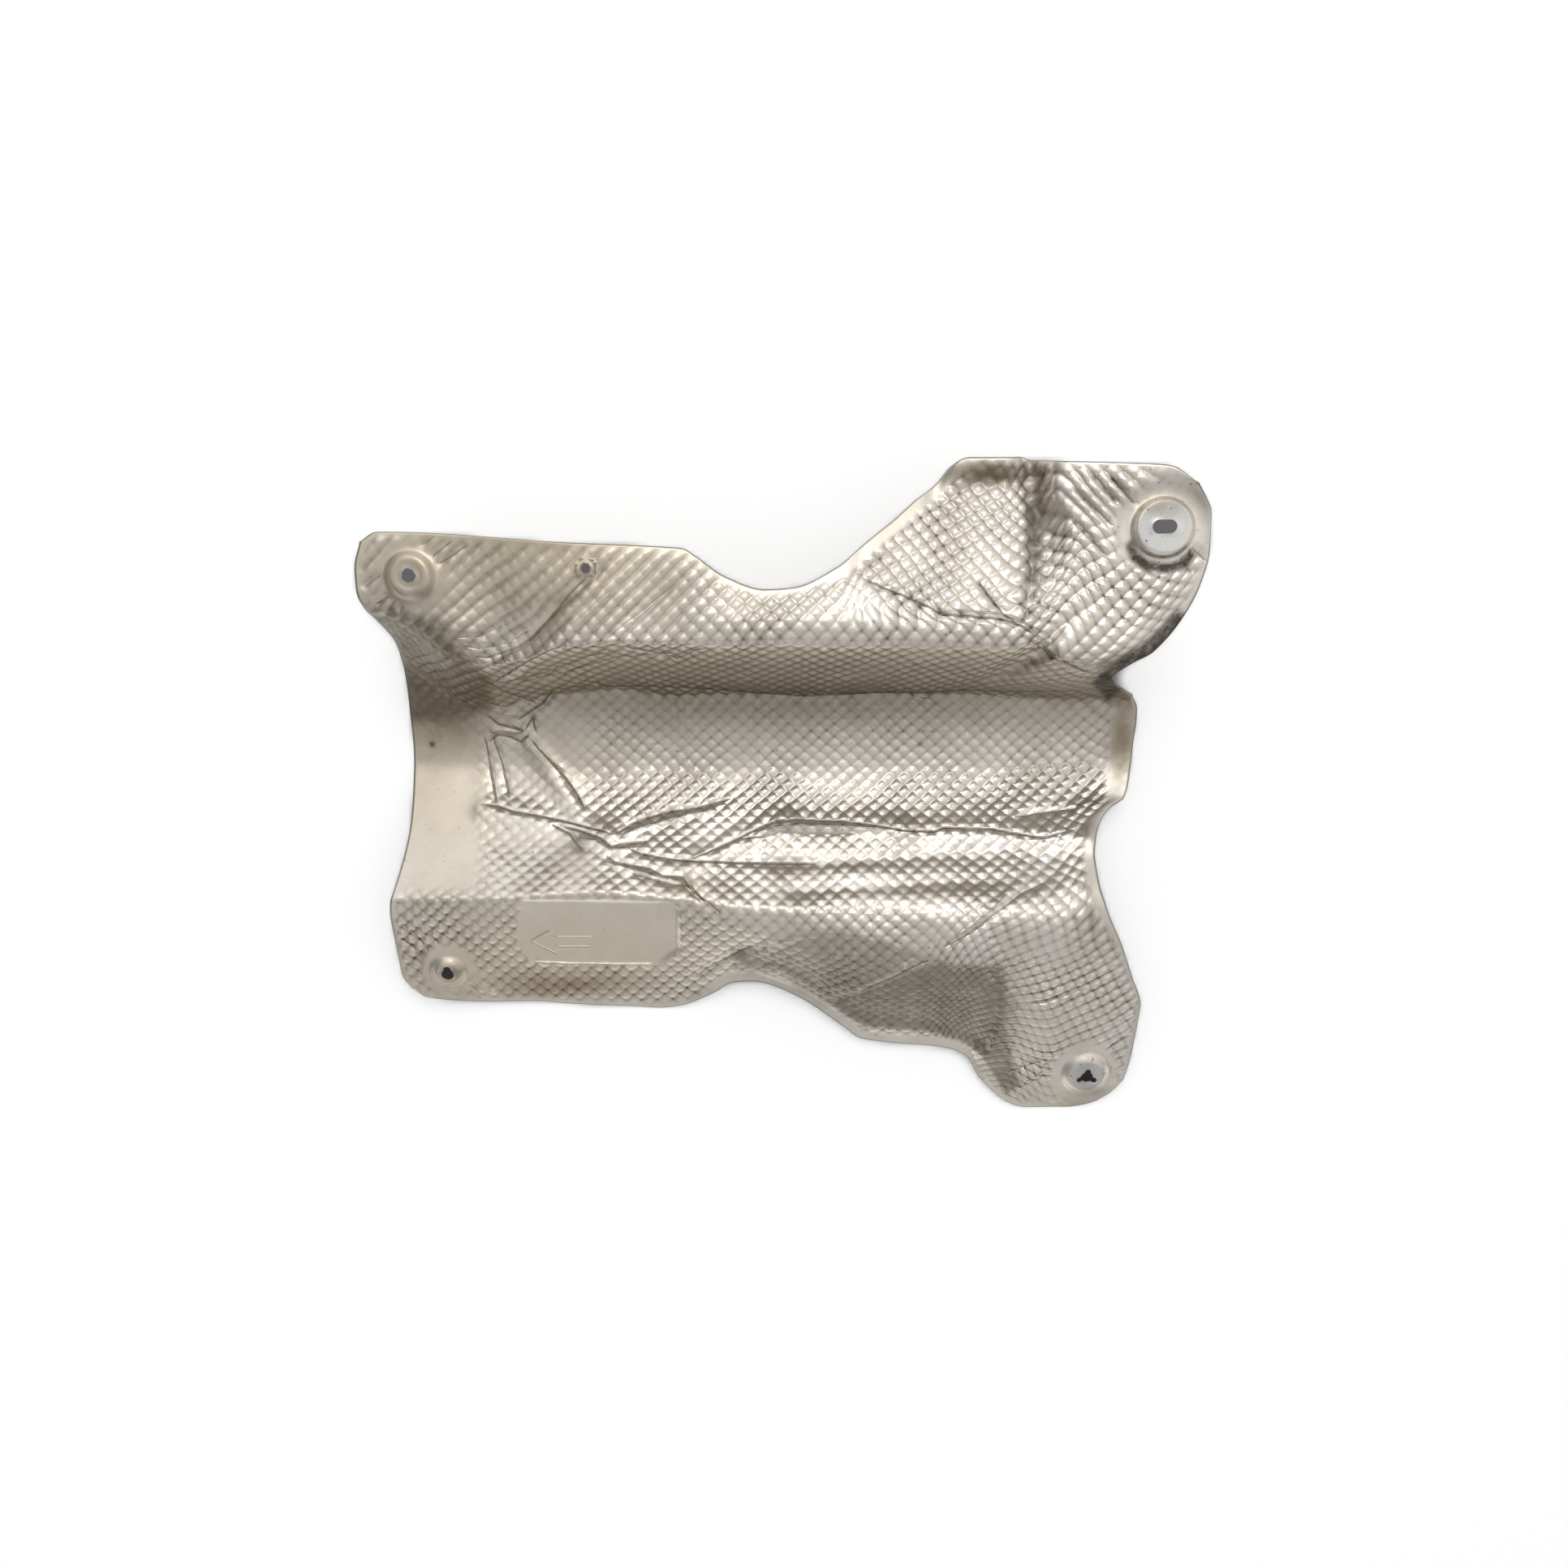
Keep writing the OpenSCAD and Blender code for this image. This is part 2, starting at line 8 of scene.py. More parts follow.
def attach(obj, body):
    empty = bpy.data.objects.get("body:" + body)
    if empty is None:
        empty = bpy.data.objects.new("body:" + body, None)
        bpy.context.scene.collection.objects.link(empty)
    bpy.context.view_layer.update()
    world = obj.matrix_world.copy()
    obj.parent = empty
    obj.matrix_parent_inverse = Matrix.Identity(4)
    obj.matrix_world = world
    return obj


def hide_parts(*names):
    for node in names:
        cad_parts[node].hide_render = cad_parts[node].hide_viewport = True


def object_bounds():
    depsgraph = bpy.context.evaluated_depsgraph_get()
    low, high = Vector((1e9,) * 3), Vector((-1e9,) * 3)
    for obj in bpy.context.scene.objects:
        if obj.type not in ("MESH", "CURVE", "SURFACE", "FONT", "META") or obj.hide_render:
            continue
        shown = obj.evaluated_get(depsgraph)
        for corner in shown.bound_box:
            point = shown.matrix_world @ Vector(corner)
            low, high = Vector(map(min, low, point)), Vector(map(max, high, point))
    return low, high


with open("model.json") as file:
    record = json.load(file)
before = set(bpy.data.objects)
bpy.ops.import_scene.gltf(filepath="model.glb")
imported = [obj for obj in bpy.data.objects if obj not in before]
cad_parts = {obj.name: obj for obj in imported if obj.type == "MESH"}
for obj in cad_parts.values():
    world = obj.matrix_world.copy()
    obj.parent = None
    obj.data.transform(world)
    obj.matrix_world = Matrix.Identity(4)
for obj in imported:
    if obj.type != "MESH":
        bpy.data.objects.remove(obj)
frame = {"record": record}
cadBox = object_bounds()
mounts = {m["name"]: m for m in frame["record"]["mounts"]}
mm = 0.001
print("frame loaded")


def addObject(name, data):
    made = bpy.data.objects.new(name, data)
    bpy.context.scene.collection.objects.link(made)
    return made


# Straight above the sheet, as in the photograph
camera = {
    "place": (2.883, 7.576, 450.799),  # millimetres
    "lens": 22.07,
    "sensor": 36.0,
    "pixels": 1932,
    "floorPixel": 0.38,  # millimetres to a pixel at the height of the floor
}
cameraData = bpy.data.cameras.new("photoCamera")
cameraData.lens = camera["lens"]
cameraData.sensor_width = camera["sensor"]
cameraData.clip_start = 0.01
cameraObject = addObject("photoCamera", cameraData)
cameraObject.location = Vector(camera["place"]) * mm
bpy.context.scene.camera = cameraObject

# Lengths are in millimetres: x runs along the channel, y across it, z up
sheet = {
    "thickness": 0.8,
    "reach": 168.0,  # of either end from the middle
    "foldPlace": 66.0,
    "foldHeight": 63.0,
    "rollWidth": 10.0,
    "rollHeight": 2.5,
    "footPlace": 52.0,
    "footHeight": 8.0,
    "valleyPlace": 19.0,
    "ridgePlace": -42.0,
    "ridgeHeight": 31.0,
    "ridgeBow": 1.5,  # higher makes its side toward the valley hollower
    "lipHeight": 5.0,
    "lipWidth": 12.0,
    "shelf": 3.5,  # smooth band along the bottom edge
    "bendRadius": 1.1,
    "softBend": 6.0,  # where the sheet was drawn over rather than folded
    "wrinkleHeight": 1.5,
    "wrinkleWidth": 5.0,
    "leastAbove": 0.3,  # of the seen side above the floor, at the bottom of a fold
    "sharpAngle": 50,  # degrees between faces that aren't shaded as one
    "samples": 110,  # points to each part of a cross-section
    "grain": 0.4,  # between the points of the finished cross-section
    "spare": 16.0,  # its straight length past either edge
    "clearRow": 0.4,  # share of a mesh cell that the row beside an edge keeps from it
    "origin": (2.1169, 3.42435, -0.799221),  # of the frame, in these lengths
}
# End edges: [place across, outward from the reach]
leftEnd = [
    (-84, -2.8), (-76, 1.4), (-48, 1.7), (-38, 0), (-12, -1.7), (19, 0), (39, 0.3), (60, -1.2),
    (66, -2.2), (74, -5.4), (79, -4.2), (82, -2.1), (89, 0.2), (98, 0.5), (108, -2),
]
rightEnd = [
    (-126, -6.0), (-119, -4.7), (-113, -4.1), (-89, -3.2), (-74, -9), (-60, -15), (-42, -23.5), (-32, -25.3),
    (-22, -25.2), (-13, -23.3), (-4, -18.8), (1, -14), (5, -7.5), (16, -3.7), (28, -1.6),
    (37, -1.1), (45, -2.5), (48, -4.6), (50, -7.5), (51.2, -13), (53, -23), (55, -28.3),
    (59.5, -22.5), (64, -14.2), (81, -1), (91, 3.3), (102, 5.9), (111, 6.4), (119, 5.6), (124, 3.2),
    (129, -0.3),
]
# Guide lines along the channel: [station, across, up]
foldLine = [
    (-168, 16, -2), (-150, 9, -3), (-135, 1, -5), (-115, -6, -11), (-103, -5, -8), (-82, 0, -1),
    (-55, 1, 0), (60, 0, -1), (108, -1, 1), (117, 2, 1), (132, -5, 3), (149, -9, 3), (168, -11, -1),
]
footLine = [
    (-168, 14, 10), (-150, 5, 6), (-132, -6, 2), (-97, 0, 2), (-64, 2, 1), (-35, 0, 0),
    (100, 0, 0), (140, -1, 2), (157, -1, 5), (168, -2, 10),
]
valleyLine = [(-168, 3, 0), (-138, 2, 0), (-100, 0, 0), (110, 0, 0), (146, 2, 2), (168, 8, 5)]
ridgeLine = [
    (-168, 2, -4), (-118, 2.5, -2), (-75, 5, -1), (-32, 3, 0), (3, -1, 0), (38, -2, 1),
    (77, -3, 3), (110, -4, 6), (141, -4, 7), (168, 1, 5),
]
# Edge lines: [station, place, height]
topEdge = [
    (-168, 108.5, 63), (-161, 112.6, 63), (-148, 112.4, 63), (-88, 108.4, 63), (-40, 106.3, 62),
    (-33, 102.8, 62), (-20, 94.8, 61), (-4, 89.8, 61), (7, 90.5, 61), (24, 99.3, 60),
    (33, 109, 57), (48, 121.4, 52.5), (62, 131.3, 49), (68, 136.4, 47), (74, 143.3, 46),
    (82, 146.7, 46), (99, 146.2, 47.5), (106, 146.9, 46.5), (116, 141.8, 61), (124, 140.6, 64),
    (143, 138.7, 68), (158, 136.7, 71), (168, 129, 73),
]
lowEdge = [
    (-168, -83.0, 8), (-163, -86.9, 7), (-153, -88.6, 6), (-132, -90.1, 3), (-114, -90.0, 2), (-97, -91.5, 1),
    (-64, -93, 0), (-54, -93.6, 0), (-43, -92.2, 1), (-31, -87.3, 4), (-15, -80.3, 7),
    (-6, -80, 7), (12, -87.2, 6), (34, -101.6, 4), (42, -107, 3), (84, -111.3, 3),
    (93, -115.5, 3), (98, -123, 2), (103, -128.4, 2), (115, -138, 1), (123, -140, 0.5),
    (142, -140, 0), (153, -138, 1), (162, -132.8, 3), (168, -126, 5),
]
# Shares along the channel: rise of the roll-over, fall of the lower flange, its band, the lip
rollShare = [(-40, 0), (-15, 0.8), (60, 1), (100, 1), (117, 0)]
flangeBow = [(-43, 1), (-15, 1.5), (30, 2), (60, 2.6), (90, 2.2), (112, 1.05)]
shelfRise = [(-43, 0.45), (-30, 0.15), (92, 0.15), (112, 0.4)]
lipShare = [(70, 0), (78, 1), (102, 1), (108, 0)]
# Long wrinkles: two ends and the share of their height
longWrinkles = [
    ((-34, -24), (6, -6), 1), ((6, -6), (59, -9), 1), ((59, -9), (141, -13), 0.8),
    ((3, -25), (125, -22), -0.8), ((10, -35), (122, -30), -0.7),
    ((-101, 71), (-73, 96), -1), ((-114, 32), (-90, -2), 1), ((-134, -1), (-75, -12), 0.8),
]
# Where the bends are soft: share, then (place, fade) along the channel and across it from the valley
softBends = [(1, (-98, -38), (4, 18)), (0.7, (122, 26), (20, 15)), (1, (10, 60), (-28, -20))]

embossing = {
    "period": 7.2,  # of the crossing rows, along the channel and across it
    "height": 0.8,
    "sunk": 0.35,  # share of the height that lies below the sheet's middle
    "sharpness": 1.5,  # higher makes the grooves between the knobs narrower
    "lean": 0.75,  # how much shallower one way of the rows gets where the sheet was drawn
    "cellsTop": 6,  # mesh cells to a period, seen side and underside
    "cellsUnder": 4,
    "unevenness": 0.2,
    "unevenLimit": 1.5,
    "drift": 0.3,  # how far the rows wander
    "driftShare": 0.3,  # of each wave in it
    "waves": 18,  # long soft dents in every direction
    "waveLengths": (14, 60),
    "waveHeight": 0.008,
    "waveGrowth": 0.6,  # the power of a dent's length by which it gets deeper
    "seed": 5,
    "edgeBand": (0.8, 3.4),  # where the form starts from the rim, and over how much it rises
    "rimFade": 1.6,
    "smoothRims": [  # where the band without knobs is wider
        {"width": 5.4, "window": (885, 1185, 1185, 1300), "fade": 26},
        {"width": 5.6, "window": (1040, 1190, 575, 720), "fade": 30},
    ],
    "squeeze": 1.12,  # rows lie closer across the channel than on the upper flange
    "squeezeBelow": 40,
    # Windows are left, right, top and bottom pixel and how softly each side fades
    "pocketRows": {"window": (960, 1225, 1150, 1400), "fade": 80, "from": 1185, "stretch": 0.55},
    "leaning": [  # how much shallower one way is than the other, then (place, fade) to the side and down
        (0.25, (0, 1), (1010, -40)), (1.0, (900, -80), (800, -40)), (0.55, (1170, 60), (1130, 50)),
        (0.0, (1050, 60), (790, -40)), (-0.8, (1290, 20), (660, -30)),
    ],
    "turned": [  # rows that were turned as the sheet was drawn, in degrees about a place
        {"angle": 17, "about": (103, -72), "window": (1225, 1500, 1170, 1500), "fade": 90},
        {"angle": 8, "about": (84, 140), "window": (1070, 1232, 500, 740), "fade": 36},
    ],
    "faint": [
        {"share": 0.6, "window": (500, 700, 905, 1085), "fade": 60},
        {"share": 0.35, "window": (700, 1340, 1030, 1100), "fade": 40},
        {"share": -0.35, "window": (1250, 1400, 1150, 1300), "fade": 50},
        {"share": 0.25, "window": (640, 1340, 870, 1160), "fade": 60},
    ],
}
bosses = {  # round seats: flat part, sloped wall, height, pad round it, and a pressed ring
    "upper_left_hole": {"seat": 7.0, "wall": 4.2, "height": 3.0, "level": 1.2, "blend": 5.0, "ring": 5.6},
    "upper_right_slot": {"seat": 10.2, "wall": 2.6, "height": 3.0, "level": 1.8, "blend": 6.0, "ring": 0},
    "lower_left_hole": {"seat": 4.6, "wall": 4.4, "height": 3.0, "level": 1.2, "blend": 5.0, "ring": 0},
    "lower_right_hole": {"seat": 7.4, "wall": 4.6, "height": 3.0, "level": 1.2, "blend": 5.0, "ring": 0},
    "pierced_hole": {"seat": 2.2, "wall": 0.6, "height": 0.0, "level": 0.5, "blend": 2.0, "ring": 0},
}
holes = {
    "bolt": 2.75,
    "slotLength": 9.5,
    "slotWidth": 5.5,
    "unround": ((0.14, 3, 1), (0.09, 7, 0)),  # the worn round hole's waves: height, number and start
    "tear": 1.7,
    "tearReach": 1.5,  # of the tear past the hole
    "worn": 5.6,
    "wornCorners": ((-0.55, -0.3), (0.6, -0.3), (0.05, 0.5)),  # in shares of it
    "pierced": 1.9,
    "spokes": 48,
    "seatRings": (0, 0.1, 0.3, 0.5, 0.7, 0.86),  # shares of the way from the hole's edge over the seat
    "wallRings": (0, 0.14, 0.28, 0.42, 0.56, 0.7, 0.85, 1.02),
    "flatRings": ((0, 0.5), (0, 1)),  # both kinds, where the seat isn't raised
    "clearance": (1.04, 0.45),  # where the net ends round a seat: shares of the wall and of a mesh cell
    "burr": 0.22,
    "burrWidth": 0.35,
    "burrPlace": 0.25,  # of its top beside the hole's edge
    "burrTurn": 1.2,  # where round the hole it is highest
    "ringDepth": 0.35,
    "slopeStep": 0.05,  # either way from where a slope is measured
}


def mix(a, b, t):
    return a + (b - a) * t


def ease(t):
    t = np.clip(t, 0, 1)
    return t * t * (3 - 2 * t)


def risen(value, edge):  # 0 up to a place and 1 a fade further on, or further back for a fade below 0
    return ease((value - edge[0]) / edge[1])


def quadsOf(index):  # the faces of a net of point numbers
    return np.stack((index[:-1, :-1], index[1:, :-1], index[1:, 1:], index[:-1, 1:]), axis=-1).reshape(-1, 4)


def smoothLine(knots, x, column=1):  # smooth through the knots, never past them
    k = np.array(knots, float)
    xs, ys = k[:, 0], k[:, column]
    slope = np.diff(ys) / np.diff(xs)
    a, b = slope[:-1], slope[1:]
    same = a * b > 0
    inner = np.where(same, 2 * a * b / np.where(same, a + b, 1), 0)
    tangent = np.concatenate(([slope[0]], inner, [slope[-1]]))
    i = np.clip(np.searchsorted(xs, x, side="right") - 1, 0, len(xs) - 2)
    h = xs[i + 1] - xs[i]
    t = np.clip((x - xs[i]) / h, 0, 1)
    rise = t * t * (3 - 2 * t) * (ys[i + 1] - ys[i])
    return ys[i] + rise + t * (1 - t) * h * ((1 - t) * tangent[i] - t * tangent[i + 1])


def crossSection(s):  # one column: distances from the valley, places, and where its edges are
    def guide(line, y=0.0, z=0.0):
        return np.array([y + smoothLine(line, s, 1), z + smoothLine(line, s, 2)])

    low, top = guide(lowEdge), guide(topEdge)
    ridge = guide(ridgeLine, sheet["ridgePlace"], sheet["ridgeHeight"])
    valley = guide(valleyLine, sheet["valleyPlace"])
    foot = guide(footLine, sheet["footPlace"], sheet["footHeight"])
    fold = guide(foldLine, sheet["foldPlace"], sheet["foldHeight"])
    roll = fold + [sheet["rollWidth"], sheet["rollHeight"] * smoothLine(rollShare, s)]
    t = np.linspace(0, 1, sheet["samples"])[:-1]
    y = mix(low[0], ridge[0], t)
    rise = smoothLine(shelfRise, s)
    shelfY, shelfZ = low[0] + sheet["shelf"], low[1] + sheet["shelf"] * rise
    down = np.clip((ridge[0] - y) / (ridge[0] - shelfY), 0, 1) ** smoothLine(flangeBow, s)
    z = np.where(y < shelfY, low[1] + (y - low[0]) * rise, mix(ridge[1], shelfZ, down))
    parts = [
        (y, z),
        (mix(ridge[0], valley[0], t), mix(valley[1], ridge[1], (1 - t) ** sheet["ridgeBow"])),
        (mix(valley[0], foot[0], t), mix(valley[1], foot[1], t * t)),
        (mix(foot[0], fold[0], t), mix(foot[1], fold[1], t)),
        (mix(fold[0], roll[0], t), mix(fold[1], roll[1], 1 - (1 - t) ** 2)),
    ]
    t = np.append(t, 1)
    y = mix(roll[0], top[0], t)
    lip = sheet["lipHeight"] * smoothLine(lipShare, s)
    parts.append((y, mix(roll[1], top[1], t) + lip * ease(1 - (top[0] - y) / sheet["lipWidth"])))
    line = np.concatenate([np.column_stack(part) for part in parts])
    run = np.concatenate(([0], np.cumsum(np.linalg.norm(np.diff(line, axis=0), axis=1))))
    atValley, whole = run[2 * len(parts[0][0])], run[-1]
    grain, spare = sheet["grain"], sheet["spare"]
    steps = np.arange(-spare, whole + spare, grain)
    even = np.column_stack([np.interp(steps, run, line[:, c]) for c in (0, 1)])
    ends = ((steps < 0, line[0], line[0] - line[2], 0.0),
            (steps > whole, line[-1], line[-1] - line[-3], whole))
    for outside, base, way, start in ends:  # straight on past either edge
        way = way / np.linalg.norm(way)
        even[outside] = base + np.abs(steps[outside] - start)[:, None] * way

    def bent(radius):  # the same line with its corners rounded
        width = radius / grain
        taps = np.arange(-int(3 * width), int(3 * width) + 1)
        weights = np.exp(-0.5 * (taps / width) ** 2)
        weights /= weights.sum()
        half = len(taps) // 2
        padded = [np.pad(even[:, c], half, mode="reflect", reflect_type="odd") for c in (0, 1)]
        return np.column_stack([np.convolve(one, weights, "valid") for one in padded])

    v = steps - atValley
    soft = sum(share * risen(s, ends) * risen(v, rows) for share, ends, rows in softBends)
    rounded = mix(bent(sheet["bendRadius"]), bent(sheet["softBend"]), soft[:, None])
    return v, rounded, -atValley, whole - atValley


def along(s, y):  # place of a station between the two end edges
    left = -sheet["reach"] - smoothLine(leftEnd, y)
    right = sheet["reach"] + smoothLine(rightEnd, y)
    return mix(left, right, (s + sheet["reach"]) / (2 * sheet["reach"]))


def seenAt(p):  # pixel of the photograph at which the camera sees each point
    c = camera["place"]
    spread = c[2] / (c[2] - p[..., 2]) / camera["floorPixel"]
    half = camera["pixels"] / 2
    return half + (p[..., 0] - c[0]) * spread, half - (p[..., 1] - c[1]) * spread


def bossFrame(name):  # middle of the pad, two directions in it, and the bolt's direction
    axis = np.array(mounts[name]["axis"], float)
    axis /= np.linalg.norm(axis)
    middle = np.array(mounts[name]["pos_m"]) / mm
    middle = middle - axis * (bosses[name]["height"] - sheet["thickness"] / 2)
    side = np.cross((0, 1, 0), axis)
    side /= np.linalg.norm(side)
    return middle, side, np.cross(axis, side), axis


def padLift(p):  # how far each point moves up onto the flat pads, and how flat it lies
    lift, flat = np.zeros(p.shape[:-1]), np.zeros(p.shape[:-1])
    for name, boss in bosses.items():
        middle, side, up, axis = bossFrame(name)
        d = p - middle
        clear = boss["seat"] + boss["wall"] + boss["level"]
        pull = 1 - ease((np.hypot(d[..., 0], d[..., 1]) - clear) / boss["blend"])
        lift += pull * (-(axis[0] * d[..., 0] + axis[1] * d[..., 1]) / axis[2] - d[..., 2])
        flat = np.maximum(flat, pull)
    return lift, flat


def toPath(x, y, path):  # distance to a bent line, how far along it, and 1 or -1 for the side
    best, share, side = np.full(x.shape, 1e9), np.zeros(x.shape), np.zeros(x.shape)
    points = np.array(path, float)
    starts = np.concatenate(([0], np.cumsum(np.hypot(*(points[1:] - points[:-1]).T))))
    for k, (a, b) in enumerate(zip(points[:-1], points[1:])):
        d = b - a
        t = np.clip(((x - a[0]) * d[0] + (y - a[1]) * d[1]) / (d @ d), 0, 1)
        gap = np.hypot(x - a[0] - t * d[0], y - a[1] - t * d[1])
        nearer = gap < best - 1e-6  # at a corner the piece before it counts
        share = np.where(nearer, mix(starts[k], starts[k + 1], t) / starts[-1], share)
        side = np.where(nearer, np.sign(d[0] * (y - a[1]) - d[1] * (x - a[0])), side)
        best = np.minimum(best, gap)
    return best, share, side


def wrinkleLift(p):  # height of the long wrinkles at each point
    origin = np.array(sheet["origin"])
    x, y = p[..., 0] + origin[0], p[..., 1] + origin[1]
    lift = np.zeros(x.shape)
    for start, end, share in longWrinkles:
        gap = toPath(x, y, (start, end))[0]
        lift += share * sheet["wrinkleHeight"] * np.exp(-(gap / sheet["wrinkleWidth"]) ** 2)
    return lift


